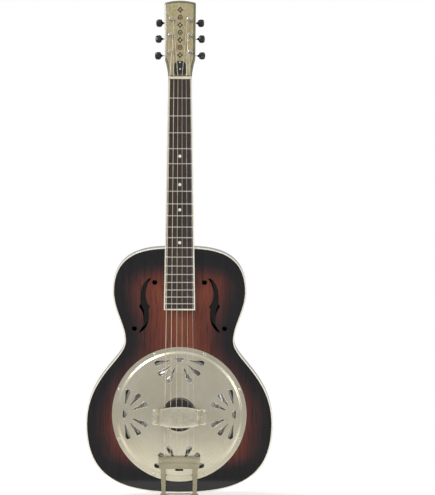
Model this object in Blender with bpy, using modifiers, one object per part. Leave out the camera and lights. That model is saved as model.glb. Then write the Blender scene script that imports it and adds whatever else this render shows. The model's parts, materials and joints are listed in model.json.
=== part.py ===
"""Resonator guitar with a wooden body, a round neck and one spun metal cone.

Frame: the guitar stands upright, neck along +Z, its front towards -Y, the flat back in the
plane y = 0, and the origin on the back straight behind the middle of the cone.  Metres.
"""
import math

import bpy
import bmesh
from mathutils import Matrix, Vector

# ---------------------------------------------------------------- driving dimensions
GAP = 0.0003                 # clearance between pieces that touch
SCALE_LENGTH = 0.635         # nut to saddle
NUT_Z = 0.6325               # nut edge above the middle of the cone
SADDLE_SET_BACK = 0.0005     # the saddle stands a little beyond the scale length
SADDLE_Z = NUT_Z - SCALE_LENGTH - SADDLE_SET_BACK
FRET_COUNT = 19

BODY_DEPTH = 0.086
BODY_TOP_Z = 0.315
BODY_BOTTOM_Z = -0.1488
UPPER_BOUT = (0.1260, 0.2320)      # half width and height of each widest or narrowest place
WAIST = (0.1034, 0.1384)
LOWER_BOUT = (0.1764, -0.0180)
TOP_THICKNESS = 0.0035
BACK_THICKNESS = 0.0030
RIM_THICKNESS = 0.0025
BINDING_WIDTH = 0.0024
BINDING_HEIGHT = 0.0060
LINING_WIDTH = 0.0070
LINING_HEIGHT = 0.0100

NECK_TILT = math.radians(2.0)
HEAD_TILT = math.radians(12.0)
BOARD_TOP_AT_BODY = 0.0930         # how far in front of the back the board lies at the body joint
BOARD_THICKNESS = 0.0063
BOARD_LENGTH = 0.4354
BOARD_HALF_AT_NUT = 0.0225
BOARD_HALF_AT_END = 0.0295
BOARD_BINDING = 0.0026
FRET_HEIGHT = 0.0010
FRET_WIDTH = 0.0022
HEEL_LENGTH = 0.078
HEEL_CAP_Y = -0.0070
NUT_LENGTH = 0.0050
NUT_RISE = 0.0026

HEAD_LENGTH = 0.1508               # from the nut's front edge, along the headstock
HEAD_CORNER = 0.1464
HEAD_FOOT = 0.0072                 # where the facing starts above the nut
HEAD_THICKNESS = 0.0140
VENEER = 0.0010
POST_STATIONS = ((0.0527, 0.0193), (0.0848, 0.0180), (0.1154, 0.0170))
BUTTON_REACH = (0.0414, 0.0406, 0.0393)
POST_HOLE = 0.0048

STRING_DIAMETERS = (0.00041, 0.00046, 0.00066, 0.00091, 0.00117, 0.00142)
STRING_SPREAD_NUT = 0.0193
STRING_SPREAD_SADDLE = 0.0273
SADDLE_HEIGHT = 0.1080             # strings in front of the back plane at the saddle

PLATE_RADIUS = 0.1270
PLATE_SHEET = 0.0008
PLATE_STEP_RADIUS = 0.1160
PLATE_STEP = 0.0022
PLATE_DOME = 0.0058
PLATE_OPENING = 0.0320
HUB_RADIUS = 0.1060
# each petal: degrees from the hub's inward line, and its start and end from the hub
PETALS = ((24.5, 0.0200, 0.0513), (50.5, 0.0206, 0.0503), (77.5, 0.0188, 0.0485))
PETAL_SHAPE = ((0.0, 0.0009), (0.50, 0.0032), (0.80, 0.0051), (0.92, 0.0043), (1.0, 0.0019))
HUB_DISC = 0.0080
SOUND_HOLE = 0.1190
CONE_RADIUS = 0.1180
CONE_LEDGE_Y = -0.0680
BISCUIT_RADIUS = 0.0290
BISCUIT_THICKNESS = 0.0060
SADDLE_THICKNESS = 0.0034
SADDLE_HALF = 0.0286
CONE_SHEET = 0.0006
STRING_TO_BISCUIT = 0.0130

REST_TOP_Y = -0.1165
REST_Z = -0.0045
REST_SHEET = 0.0012
REST_HALF = 0.03785
REST_FOOT = (0.0419, 0.0512)
REST_END_HEIGHT, REST_BULGE = 0.0144, 0.0056
REST_FOOT_HEIGHT = 0.0148

TAIL_PIN_Y = -0.0700
TAIL_PIN_DROP = 0.0036
TAIL_PLATE_Y = -0.0962
TAIL_TOP_Z = -0.0794
TAIL_BOTTOM_Z = -0.1026
TAIL_HALF_TOP, TAIL_HALF_BOTTOM = 0.0392, 0.0376
STRAP_SHEET = 0.0014
STRAP_RIDGE = 0.0008
HINGE_BORE = 0.00155

GEAR_TEETH = 14
GEAR_RADIUS = 0.0031
WORM_RADIUS = 0.0015
WORM_OFFSET = GEAR_RADIUS + WORM_RADIUS
WORM_LEAD = 2 * math.pi * GEAR_RADIUS / GEAR_TEETH
SHAFT_RADIUS = 0.0011
TUNERS = ((0, 1), (1, 1), (2, 1), (2, -1), (1, -1), (0, -1))   # station and side, high string first
BUTTON_ROLLS = (50.0, 0.0, 12.0, -8.0, 6.0, -4.0)
WORM_DEPTH = 0.0035                # worm axis behind the headstock's back

TOP_Y = -BODY_DEPTH
RAISE = math.tan(NECK_TILT)


# ---------------------------------------------------------------- scene and helpers
for old in list(bpy.data.objects):
    bpy.data.objects.remove(old, do_unlink=True)

PARTS = bpy.data.collections.new("resonator_guitar")
CUTTERS = bpy.data.collections.new("cutters")
for collection in (PARTS, CUTTERS):
    bpy.context.scene.collection.children.link(collection)


def material(name, colour, roughness, metallic=0.0):
    """A Principled material with one colour."""
    made = bpy.data.materials.new(name)
    made.use_nodes = True
    shader = made.node_tree.nodes["Principled BSDF"]
    shader.inputs["Base Color"].default_value = (*colour, 1.0)
    shader.inputs["Roughness"].default_value = roughness
    shader.inputs["Metallic"].default_value = metallic
    return made


SUNBURST = material("sunburst_lacquer", (0.16, 0.05, 0.03), 0.2)
DARK_LACQUER = material("dark_lacquer", (0.02, 0.015, 0.013), 0.2)
CREAM = material("cream_binding", (0.80, 0.76, 0.64), 0.35)
INNER_WOOD = material("inner_wood", (0.50, 0.34, 0.19), 0.7)
BOARD_WOOD = material("board_wood", (0.06, 0.035, 0.02), 0.5)
PEARLOID = material("pearloid", (0.52, 0.45, 0.29), 0.3)
BONE = material("bone", (0.85, 0.80, 0.66), 0.4)
BLACK_PLASTIC = material("black_plastic", (0.015, 0.015, 0.016), 0.25)
MAPLE = material("maple", (0.62, 0.42, 0.22), 0.5)
DARK_MAPLE = material("stained_maple", (0.03, 0.025, 0.02), 0.5)
CONE_METAL = material("cone_aluminium", (0.80, 0.80, 0.78), 0.35, 1.0)
NICKEL = material("nickel_plate", (0.66, 0.62, 0.52), 0.3, 1.0)
STEEL = material("steel", (0.60, 0.60, 0.60), 0.3, 1.0)
BRONZE = material("string_bronze", (0.62, 0.50, 0.32), 0.35, 1.0)


def hide_cutter(obj, collection):
    """Keep a cutting tool out of the finished model."""
    if collection is CUTTERS:
        obj.hide_render = True
        obj.display_type = "WIRE"


def add_mesh(name, verts, faces, look, collection=PARTS):
    """A mesh object from vertices and faces, its normals made to point out."""
    mesh = bpy.data.meshes.new(name)
    mesh.from_pydata(verts, [], faces)
    work = bmesh.new()
    work.from_mesh(mesh)
    bmesh.ops.remove_doubles(work, verts=work.verts, dist=1e-7)
    bmesh.ops.recalc_face_normals(work, faces=work.faces)
    work.to_mesh(mesh)
    work.free()
    if look is not None:
        mesh.materials.append(look)
    obj = bpy.data.objects.new(name, mesh)
    collection.objects.link(obj)
    hide_cutter(obj, collection)
    return obj


def curve_to_mesh(obj, look, collection=PARTS):
    """Replace a curve object by its welded mesh, placed in the world."""
    bpy.context.view_layer.update()
    name = obj.name
    evaluated = obj.evaluated_get(bpy.context.evaluated_depsgraph_get())
    mesh = bpy.data.meshes.new_from_object(evaluated)
    place = obj.matrix_world.copy()
    data = obj.data
    bpy.data.objects.remove(obj, do_unlink=True)
    bpy.data.curves.remove(data)
    work = bmesh.new()
    work.from_mesh(mesh)
    bmesh.ops.transform(work, matrix=place, verts=work.verts)
    bmesh.ops.remove_doubles(work, verts=work.verts, dist=1e-6)
    bmesh.ops.recalc_face_normals(work, faces=work.faces)
    work.to_mesh(mesh)
    work.free()
    mesh.materials.clear()
    if look is not None:
        mesh.materials.append(look)
    made = bpy.data.objects.new(name, mesh)
    collection.objects.link(made)
    hide_cutter(made, collection)
    return made


def slab(name, loops, low, high, look, place=None, collection=PARTS):
    """Flat outlines (the later ones are holes) filled and made thick from low to high.

    An outline is in the local XY plane and the thickness runs along local Z; place then turns
    the slab and puts it where it belongs.
    """
    data = bpy.data.curves.new(name, "CURVE")
    data.dimensions = "2D"
    data.fill_mode = "BOTH"
    data.extrude = (high - low) / 2
    for loop in loops:
        spline = data.splines.new("POLY")
        spline.points.add(len(loop) - 1)
        spline.use_cyclic_u = True
        for point, (x, y) in zip(spline.points, loop):
            point.co = (x, y, 0.0, 1.0)
    obj = bpy.data.objects.new(name, data)
    collection.objects.link(obj)
    shift = Matrix.Translation((0, 0, (low + high) / 2))
    obj.matrix_world = (place or Matrix.Identity(4)) @ shift
    return curve_to_mesh(obj, look, collection)


# local XY is the world's XZ plane, and local +Z is the way out of the front, world -Y
FRONT = Matrix.Rotation(math.pi / 2, 4, "X")

def turned(name, profile, steps, look, place=None, collection=PARTS):
    """A turned solid: a closed profile of (radius, height) carried round local Z by Screw."""
    mesh = bpy.data.meshes.new(name)
    verts = [(r, 0.0, z) for r, z in profile]
    count = len(verts)
    on_axis = profile[0][0] == 0.0 and profile[-1][0] == 0.0
    edges = [(i, i + 1) for i in range(count - 1)]
    if not on_axis:
        edges.append((count - 1, 0))
    mesh.from_pydata(verts, edges, [])
    obj = bpy.data.objects.new(name, mesh)
    collection.objects.link(obj)
    screw = obj.modifiers.new("turn", "SCREW")
    screw.axis = "Z"
    screw.angle = 2 * math.pi
    screw.steps = steps
    screw.render_steps = steps
    screw.use_merge_vertices = True
    screw.merge_threshold = 0.00001
    obj.matrix_world = place or Matrix.Identity(4)
    bpy.context.view_layer.update()
    evaluated = obj.evaluated_get(bpy.context.evaluated_depsgraph_get())
    solid = bpy.data.meshes.new_from_object(evaluated)
    matrix = obj.matrix_world.copy()
    bpy.data.objects.remove(obj, do_unlink=True)
    bpy.data.meshes.remove(mesh)
    work = bmesh.new()
    work.from_mesh(solid)
    bmesh.ops.transform(work, matrix=matrix, verts=work.verts)
    bmesh.ops.remove_doubles(work, verts=work.verts, dist=1e-6)
    bmesh.ops.recalc_face_normals(work, faces=work.faces)
    work.to_mesh(solid)
    work.free()
    if look is not None:
        solid.materials.append(look)
    made = bpy.data.objects.new(name, solid)
    collection.objects.link(made)
    hide_cutter(made, collection)
    return made


def block(name, low, high, look, collection=PARTS):
    """A box between two corners."""
    bpy.ops.mesh.primitive_cube_add(size=1.0)
    obj = bpy.context.active_object
    for owner in list(obj.users_collection):
        owner.objects.unlink(obj)
    collection.objects.link(obj)
    obj.name = name
    obj.data.name = name
    size = Vector(high) - Vector(low)
    middle = (Vector(high) + Vector(low)) / 2
    obj.data.transform(Matrix.Translation(middle) @ Matrix.Diagonal((*size, 1.0)))
    if look is not None:
        obj.data.materials.append(look)
    hide_cutter(obj, collection)
    return obj


def combine(obj, others, operation="UNION"):
    """Join the other solids to obj, or cut them from it, and apply the result."""
    for other in others:
        modifier = obj.modifiers.new(other.name, "BOOLEAN")
        modifier.operation = operation
        modifier.solver = "EXACT"
        modifier.object = other
        bpy.context.view_layer.update()
        evaluated = obj.evaluated_get(bpy.context.evaluated_depsgraph_get())
        mesh = bpy.data.meshes.new_from_object(evaluated)
        obj.modifiers.remove(modifier)
        old = obj.data
        mesh.name = old.name
        obj.data = mesh
        bpy.data.meshes.remove(old)
        spent = other.data
        bpy.data.objects.remove(other, do_unlink=True)
        bpy.data.meshes.remove(spent)
    work = bmesh.new()
    work.from_mesh(obj.data)
    bmesh.ops.remove_doubles(work, verts=work.verts, dist=2e-6)
    bmesh.ops.dissolve_degenerate(work, edges=work.edges, dist=1e-6)
    work.to_mesh(obj.data)
    work.free()
    return obj


def loft(name, rings, look, collection=PARTS):
    """A closed solid through rings of points, each ring with the same number of them."""
    size = len(rings[0])
    verts = [point for ring in rings for point in ring]
    faces = []
    for row in range(len(rings) - 1):
        for k in range(size):
            a, b = row * size + k, row * size + (k + 1) % size
            faces.append((a, b, b + size, a + size))
    faces.append(tuple(range(size)))
    faces.append(tuple((len(rings) - 1) * size + k for k in range(size)))
    return add_mesh(name, verts, faces, look, collection)


def circle(radius, count, centre=(0.0, 0.0), start=0.0):
    """Points on a circle, the first one at the start angle."""
    return [(centre[0] + radius * math.cos(start + 2 * math.pi * k / count),
             centre[1] + radius * math.sin(start + 2 * math.pi * k / count)) for k in range(count)]


def smooth_step(t):
    """0 to 1 with level ends."""
    t = min(max(t, 0.0), 1.0)
    return t * t * (3 - 2 * t)


# ---------------------------------------------------------------- body outline
def body_outline(inset=0.0, per_arc=8):
    """The body's outline in XZ, moved inwards by inset: four cubic arcs on each side.

    The arcs meet level or upright at the top, upper bout, waist, lower bout and bottom.
    """
    top, bottom = (0.0, BODY_TOP_Z), (0.0, BODY_BOTTOM_Z)
    arcs = (
        (top, (0.0400, BODY_TOP_Z), (UPPER_BOUT[0], UPPER_BOUT[1] + 0.0886), UPPER_BOUT),
        (UPPER_BOUT, (UPPER_BOUT[0], UPPER_BOUT[1] - 0.0358), (WAIST[0], WAIST[1] + 0.0302), WAIST),
        (WAIST, (WAIST[0], WAIST[1] - 0.0334), (LOWER_BOUT[0], LOWER_BOUT[1] + 0.0895), LOWER_BOUT),
        (LOWER_BOUT, (LOWER_BOUT[0], LOWER_BOUT[1] - 0.1100), (0.1014, BODY_BOTTOM_Z), bottom),
    )
    right = []
    for p0, p1, p2, p3 in arcs:
        for k in range(per_arc):
            t = k / per_arc
            s = 1 - t
            point = [s ** 3 * a + 3 * s * s * t * b + 3 * s * t * t * c + t ** 3 * d
                     for a, b, c, d in zip(p0, p1, p2, p3)]
            slope = [3 * s * s * (b - a) + 6 * s * t * (c - b) + 3 * t * t * (d - c)
                     for a, b, c, d in zip(p0, p1, p2, p3)]
            length = math.hypot(*slope)
            right.append((point[0] + inset * slope[1] / length,
                          point[1] - inset * slope[0] / length))
    right.append((0.0, BODY_BOTTOM_Z + inset))
    left = [(-x, z) for x, z in reversed(right[1:-1])]
    return right + left


def f_hole(side):
    """The long slot of an f-hole, notched on both edges at its middle, ends pointed."""
    outer = ((-0.0625, 0.2392), (-0.0686, 0.2325), (-0.0730, 0.2230), (-0.0740, 0.2090),
             (-0.0758, 0.2035), (-0.0716, 0.1955), (-0.0681, 0.1880), (-0.0680, 0.1765),
             (-0.0698, 0.1660), (-0.0775, 0.1535))
    inner = ((-0.0672, 0.1605), (-0.0612, 0.1690), (-0.0584, 0.1790), (-0.0580, 0.1955),
             (-0.0559, 0.2035), (-0.0605, 0.2105), (-0.0638, 0.2200), (-0.0640, 0.2300),
             (-0.0593, 0.2375), (-0.0530, 0.2572))
    return [(side * -x, z) for x, z in outer + inner]


F_EYES = ((0.0469, 0.2492, 0.0048), (0.0850, 0.1619, 0.0046))


# ---------------------------------------------------------------- body
def make_body():
    """Top, back, sides, bindings, linings and the blocks inside."""
    holes = [circle(SOUND_HOLE, 48)]
    for side in (-1, 1):
        holes.append(f_hole(side))
        for x, z, radius in F_EYES:
            holes.append(circle(radius, 12, (side * x, z)))
    seat = BINDING_WIDTH + GAP
    slab("top_plate", [body_outline(seat)] + holes, BODY_DEPTH - TOP_THICKNESS, BODY_DEPTH,
         SUNBURST, FRONT)
    slab("back_plate", [body_outline(seat)], 0.0, BACK_THICKNESS, SUNBURST, FRONT)
    slab("rim", [body_outline(), body_outline(RIM_THICKNESS)], BINDING_HEIGHT + GAP,
         BODY_DEPTH - BINDING_HEIGHT - GAP, DARK_LACQUER, FRONT)
    edge = [body_outline(), body_outline(BINDING_WIDTH)]
    slab("top_binding", edge, BODY_DEPTH - BINDING_HEIGHT, BODY_DEPTH, CREAM, FRONT)
    slab("back_binding", edge, 0.0, BINDING_HEIGHT, CREAM, FRONT)
    start = RIM_THICKNESS + 0.0016
    strip = [body_outline(start, 6), body_outline(start + LINING_WIDTH, 6)]
    top_inside = BODY_DEPTH - TOP_THICKNESS - GAP
    slab("top_lining", strip, top_inside - LINING_HEIGHT, top_inside, INNER_WOOD, FRONT)
    back_inside = BACK_THICKNESS + GAP
    slab("back_lining", strip, back_inside, back_inside + LINING_HEIGHT, INNER_WOOD, FRONT)
    low = back_inside + LINING_HEIGHT + GAP
    high = top_inside - LINING_HEIGHT - GAP
    block("neck_block", (-0.035, -high, 0.2560), (0.035, -low, 0.3110), INNER_WOOD)
    block("tail_block", (-0.030, -0.0590, BODY_BOTTOM_Z + 0.0036),
          (0.030, -low, -0.1180), INNER_WOOD)
    block("neck_stick", (-0.0125, -0.0500, -0.1177), (0.0125, -0.0220, 0.2557), INNER_WOOD)


# ---------------------------------------------------------------- resonator
def plate_height(radius):
    """How far the cover plate's outer face stands in front of the top at a radius."""
    flange = GAP + PLATE_SHEET
    if radius >= PLATE_STEP_RADIUS + 0.0020:
        return flange
    rise = PLATE_STEP + PLATE_DOME * (1 - (radius / PLATE_STEP_RADIUS) ** 2)
    return flange + rise if radius <= PLATE_STEP_RADIUS else flange + PLATE_STEP / 2


def petal(hub_angle, turn, start, end):
    """A petal with straight sides: narrow at the hub, wide near its end, then a blunt tip."""
    right = [(start + (end - start) * along, half) for along, half in PETAL_SHAPE]
    points = right + [(along, -half) for along, half in reversed(right)]
    heading = hub_angle + math.pi + turn
    hub = (HUB_RADIUS * math.cos(hub_angle), HUB_RADIUS * math.sin(hub_angle))
    ahead = (math.cos(heading), math.sin(heading))
    return [(hub[0] + along * ahead[0] - half * ahead[1], hub[1] + along * ahead[1] + half * ahead[0])
            for along, half in points]


def hub_disc(hub_angle):
    """The half disc at a hub, its flat side towards the rim."""
    heading = hub_angle + math.pi
    reach = HUB_RADIUS + 0.001
    hub = (reach * math.cos(hub_angle), reach * math.sin(hub_angle))
    angles = [heading - math.pi / 2 + math.pi * k / 6 for k in range(7)]
    return [(hub[0] + HUB_DISC * math.cos(a), hub[1] + HUB_DISC * math.sin(a)) for a in angles]


def make_resonator():
    """Sound well, cone, biscuit, saddle, cover plate and hand rest."""
    well_top = BODY_DEPTH - TOP_THICKNESS - GAP
    ledge = -CONE_LEDGE_Y
    turned("soundwell", [(0.1265, well_top), (0.1265, ledge - 0.008), (0.1080, ledge - 0.008),
                         (0.1080, ledge), (0.1192, ledge), (0.1192, well_top)], 32, INNER_WOOD, FRONT)
    sheet = CONE_SHEET
    biscuit_back = SADDLE_HEIGHT - STRING_TO_BISCUIT - BISCUIT_THICKNESS
    seat = ledge + GAP
    peak = biscuit_back - GAP
    outer = [(0.0, peak), (0.0280, peak), (0.0310, peak - 0.0015),
             (0.1060, seat + 0.0020), (0.1100, seat + sheet), (CONE_RADIUS, seat + sheet)]
    inner = [(r, h - sheet) for r, h in reversed(outer)]
    turned("resonator_cone", outer + inner, 28, CONE_METAL, FRONT)
    turned("biscuit", [(0.0, biscuit_back + BISCUIT_THICKNESS),
                       (BISCUIT_RADIUS - 0.001, biscuit_back + BISCUIT_THICKNESS),
                       (BISCUIT_RADIUS, biscuit_back + BISCUIT_THICKNESS - 0.001),
                       (BISCUIT_RADIUS, biscuit_back), (0.0, biscuit_back)], 24, DARK_MAPLE, FRONT)
    make_saddle(biscuit_back + BISCUIT_THICKNESS + GAP)

    outer = [(PLATE_RADIUS, plate_height(PLATE_RADIUS) - 0.0003)]
    outer += [(PLATE_RADIUS - 0.0006, plate_height(PLATE_RADIUS)), (0.1190, plate_height(0.1190)),
              (0.1172, GAP + PLATE_SHEET + PLATE_STEP * 0.7)]
    outer += [(r, plate_height(r)) for r in (0.1155, 0.0900, 0.0600, PLATE_OPENING)]
    inner = [(r, h - PLATE_SHEET) for r, h in reversed(outer[1:])] + [(PLATE_RADIUS, GAP)]
    profile = [(r, h + BODY_DEPTH) for r, h in outer + inner]
    plate = turned("coverplate", profile, 32, NICKEL, FRONT)
    holes = []
    for quarter in range(4):
        hub_angle = math.pi / 2 * quarter
        holes.append(hub_disc(hub_angle))
        for angle, start, end in PETALS:
            for side in (-1, 1):
                holes.append(petal(hub_angle, side * math.radians(angle), start, end))
    holes = slab("coverplate_holes", holes, BODY_DEPTH - 0.002, BODY_DEPTH + 0.014, None, FRONT,
                 CUTTERS)
    combine(plate, [holes], "DIFFERENCE")
    make_hand_rest()


def string_x(index, spread):
    """Where string number index (0 is the thinnest, on the right) crosses a row of this spread."""
    return spread * (1 - 2 * index / 5)


def notched_bar(half, top, bottom, spread, notch, depth):
    """A bar's outline seen along the strings, with a notch for each of the six."""
    points = [(-half, bottom), (half, bottom), (half, top)]
    for index in range(6):
        x = string_x(index, spread)
        width = notch + STRING_DIAMETERS[index] / 2
        points += [(x + width, top), (x + width, top - depth), (x - width, top - depth),
                   (x - width, top)]
    points.append((-half, top))
    return points


def make_saddle(foot):
    """A thin maple saddle standing on the biscuit, notched for the strings."""
    top = SADDLE_HEIGHT + 0.0004
    outline = notched_bar(SADDLE_HALF, top, foot, STRING_SPREAD_SADDLE, 0.0003, 0.0014)
    outline = [(x, -h) for x, h in outline]
    slab("saddle", [outline], SADDLE_Z - SADDLE_THICKNESS / 2, SADDLE_Z + SADDLE_THICKNESS / 2,
         MAPLE)


def make_hand_rest():
    """The barrel-shaped strap over the saddle, bent down to a foot on each side."""
    foot_y = -(BODY_DEPTH + plate_height(0.0330) + GAP)
    path = [(-REST_FOOT[1], foot_y), (-REST_FOOT[0], foot_y),
            (-REST_HALF - 0.0014, REST_TOP_Y + 0.0040),
            (-REST_HALF + 0.0006, REST_TOP_Y + 0.0008), (-REST_HALF + 0.0040, REST_TOP_Y),
            (-0.0220, REST_TOP_Y - 0.0006), (-0.0110, REST_TOP_Y - 0.0006)]
    path = path + [(0.0, REST_TOP_Y - 0.0008)] + [(-x, y) for x, y in reversed(path)]

    def half_height(x):
        bulge = max(0.0, 1 - (x / REST_HALF) ** 2)
        if abs(x) < REST_FOOT[0] - 0.001:
            return REST_END_HEIGHT + REST_BULGE * bulge
        return REST_FOOT_HEIGHT

    columns = (-1.0, 0.0, 1.0)
    verts = [(x, y, REST_Z + c * half_height(x)) for x, y in path for c in columns]
    faces = []
    for row in range(len(path) - 1):
        for c in range(len(columns) - 1):
            a = row * len(columns) + c
            faces.append((a, a + 1, a + 1 + len(columns), a + len(columns)))
    rest = add_mesh("hand_rest", verts, faces, NICKEL)
    for face in rest.data.polygons:
        face.use_smooth = True
    thick = rest.modifiers.new("sheet", "SOLIDIFY")
    thick.thickness = REST_SHEET
    thick.offset = 1.0
    if rest.data.polygons[8].normal.y > 0:
        rest.data.flip_normals()


# ---------------------------------------------------------------- neck
def board_top(z):
    """Distance of the fingerboard's playing face in front of the back plane at a height."""
    return BOARD_TOP_AT_BODY - (z - BODY_TOP_Z) * RAISE


def board_half(z):
    """Half the fingerboard's width, binding included."""
    t = (NUT_Z - z) / BOARD_LENGTH
    return BOARD_HALF_AT_NUT + (BOARD_HALF_AT_END - BOARD_HALF_AT_NUT) * t


def fret_z(number):
    """Height of a fret, by the rule of the twelfth root of two."""
    return NUT_Z - SCALE_LENGTH * (1 - 2 ** (-number / 12))


BOARD_END_Z = NUT_Z - BOARD_LENGTH


def make_fretboard():
    """The board with its frets, and the binding round its sides and end."""
    stations = [(BOARD_END_Z + BOARD_BINDING + GAP, 0.0)]
    for number in range(FRET_COUNT, 0, -1):
        z = fret_z(number)
        for side, rise in ((-0.5, 0.0), (0.0, FRET_HEIGHT), (0.5, 0.0)):
            stations.append((z + side * FRET_WIDTH, rise))
    stations.append((NUT_Z, 0.0))
    rings = []
    for z, rise in stations:
        half = board_half(z) - BOARD_BINDING - GAP
        top, under = -board_top(z) - rise, -board_top(z) + BOARD_THICKNESS
        rings.append([(-half, under, z), (half, under, z), (half, top, z), (-half, top, z)])
    loft("fretboard", rings, BOARD_WOOD)

    outline = [(-board_half(NUT_Z), NUT_Z), (-board_half(BOARD_END_Z), BOARD_END_Z),
               (board_half(BOARD_END_Z), BOARD_END_Z), (board_half(NUT_Z), NUT_Z)]
    inside = [(board_half(NUT_Z) - BOARD_BINDING, NUT_Z),
              (board_half(BOARD_END_Z) - BOARD_BINDING, BOARD_END_Z + BOARD_BINDING),
              (-board_half(BOARD_END_Z) + BOARD_BINDING, BOARD_END_Z + BOARD_BINDING),
              (-board_half(NUT_Z) + BOARD_BINDING, NUT_Z)]
    place = board_frame()
    local = [(x, (z - BODY_TOP_Z) / math.cos(NECK_TILT)) for x, z in outline + inside]
    slab("fretboard_binding", [local], -BOARD_THICKNESS, 0.0, CREAM, place)


def board_frame():
    """Local X across the board, local Y up the neck and local Z out of its playing face."""
    up = Vector((0, math.sin(NECK_TILT), math.cos(NECK_TILT)))
    out = Vector((0, -math.cos(NECK_TILT), math.sin(NECK_TILT)))
    place = Matrix((Vector((1, 0, 0)), up, out)).transposed().to_4x4()
    place.translation = Vector((0, -BOARD_TOP_AT_BODY, BODY_TOP_Z))
    return place


def head_frame():
    """Local X across the headstock, local Y up along it and local Z out of its face.

    Its origin is on the bare wood at the nut's front edge.
    """
    up = Vector((0, math.sin(HEAD_TILT), math.cos(HEAD_TILT)))
    out = Vector((0, -math.cos(HEAD_TILT), math.sin(HEAD_TILT)))
    place = Matrix((Vector((1, 0, 0)), up, out)).transposed().to_4x4()
    place.translation = Vector((0, -board_top(NUT_Z) + BOARD_THICKNESS - 0.0005, NUT_Z))
    return place


HEAD = head_frame()


def head_outline(inset=0.0, start=HEAD_FOOT):
    """Headstock outline: a flare above the nut, nearly parallel sides and an arched top."""
    right = [(0.0222 - inset, start), (0.0232 - inset, 0.0150), (0.0256 - inset, 0.0280),
             (0.0276 - inset, 0.0360), (0.0286 - inset, 0.0440), (0.0291 - inset, 0.0900),
             (0.0296 - inset, HEAD_CORNER - 0.002 - inset)]
    for k in range(7):
        x = (0.0290 - inset) * (1 - k / 6)
        sag = (HEAD_LENGTH - HEAD_CORNER) * (x / 0.0296) ** 2
        right.append((x, HEAD_LENGTH - sag - inset))
    left = [(-x, y) for x, y in reversed(right[:-1])]
    return right + left


def post_holes():
    """The six holes for the string posts."""
    return [circle(POST_HOLE, 8, (side * x, v)) for v, x in POST_STATIONS for side in (-1, 1)]


def rod_slot():
    """The opening over the truss rod's nut."""
    return [(-0.0040, 0.0120), (0.0040, 0.0120), (0.0040, 0.0300), (-0.0040, 0.0300)]


def neck_depth(z):
    """Depth of the neck behind its flat at a height, and how much of it is heel (0 to 1)."""
    flat = -board_top(z) + BOARD_THICKNESS + GAP
    shaft = 0.0145 + 0.0035 * (NUT_Z - z) / (NUT_Z - BODY_TOP_Z)
    rise = (z - BODY_TOP_Z - GAP) / HEEL_LENGTH
    heel = (1 - smooth_step((rise - 0.16) / 0.84)) ** 1.6 if rise < 1.0 else 0.0
    return shaft + (HEEL_CAP_Y - (flat + shaft)) * heel, heel


def make_neck():
    """Neck shaft with its heel, joined to the headstock."""
    around = 10

    def section(z):
        """Points round the neck at a height: flat under the board, rounded behind."""
        half = board_half(z) - 0.0002
        flat = -board_top(z) + BOARD_THICKNESS + GAP
        depth, heel = neck_depth(z)
        ring = []
        for k in range(around + 1):
            angle = math.pi * k / around
            squareness = 0.85 + 0.55 * heel
            x = math.copysign(abs(math.cos(angle)) ** squareness, math.cos(angle)) * half
            ring.append((x, flat + depth * math.sin(angle) ** (1 - 0.25 * heel), z))
        return ring

    steps = (0.0, 0.012, 0.022, 0.032, 0.042, 0.052, 0.064, 0.080)
    heights = [BODY_TOP_Z + GAP + step for step in steps]
    heights += [0.450, 0.520, 0.590, 0.622, NUT_Z + NUT_LENGTH + 0.001]
    neck = loft("neck", [section(z) for z in heights], SUNBURST)
    head = slab("head", [head_outline(0.0, -0.004)] + post_holes(), -HEAD_THICKNESS, -VENEER - GAP,
                DARK_LACQUER, HEAD)
    combine(neck, [head])
    pocket = slab("rod_pocket", [rod_slot()], -0.0098, 0.002, None, HEAD, CUTTERS)
    combine(neck, [pocket], "DIFFERENCE")
    wedge = []
    for z in (BOARD_END_Z + 0.001, BODY_TOP_Z - 0.0035):
        half = board_half(z) - 0.0002
        near = -board_top(z) + BOARD_THICKNESS + GAP
        far = TOP_Y - GAP
        wedge.append([(-half, near, z), (half, near, z), (half, far, z), (-half, far, z)])
    loft("fretboard_wedge", wedge, DARK_LACQUER)
    slab("headstock_veneer", [head_outline()] + post_holes() + [rod_slot()], -VENEER, 0.0, PEARLOID,
         HEAD)


def make_nut():
    """The bone nut across the end of the board, with a notch for each string."""
    z0, z1 = NUT_Z + GAP, NUT_Z + NUT_LENGTH
    foot = board_top(z1) - BOARD_THICKNESS + GAP
    top = board_top(NUT_Z) + NUT_RISE
    outline = notched_bar(BOARD_HALF_AT_NUT, top, foot, STRING_SPREAD_NUT, 0.0003, 0.0030)
    slab("nut", [[(x, -h) for x, h in outline]], z0, z1, BONE)


def make_truss_rod():
    """The adjusting rod's end in its pocket, its nut, and the cover over both."""
    axis_depth = -0.0055
    along = HEAD @ Matrix.Translation((0, 0, axis_depth)) @ Matrix.Rotation(-math.pi / 2, 4, "X")
    turned("truss_rod", [(0.0, 0.0178), (0.0019, 0.0178), (0.0019, 0.0125), (0.0, 0.0125)], 10,
           STEEL, along)
    hexagon = circle(0.0032, 6)
    slab("truss_rod_nut", [hexagon, circle(0.0020, 10)], 0.0150, 0.0205, STEEL, along)
    half_top, half_foot = 0.0040, 0.0112
    right = [(half_foot, 0.0085), (half_foot, 0.0255), (0.0085, 0.0310), (half_top, 0.0345)]
    outline = right + [(-x, y) for x, y in reversed(right)]
    slab("truss_rod_cover", [outline], GAP, 0.0018, BLACK_PLASTIC, HEAD)


# ---------------------------------------------------------------- tuners
def gear_outline():
    """A small spur gear: four points a tooth, the first tooth pointing along +X."""
    points = []
    pitch = 2 * math.pi / GEAR_TEETH
    tip, root = GEAR_RADIUS + 0.00040, GEAR_RADIUS - 0.00050
    for tooth in range(GEAR_TEETH):
        middle = tooth * pitch
        for radius, part in ((root, -0.27), (tip, -0.11), (tip, 0.11), (root, 0.27)):
            points.append((radius * math.cos(middle + part * pitch),
                           radius * math.sin(middle + part * pitch)))
    return points


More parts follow.
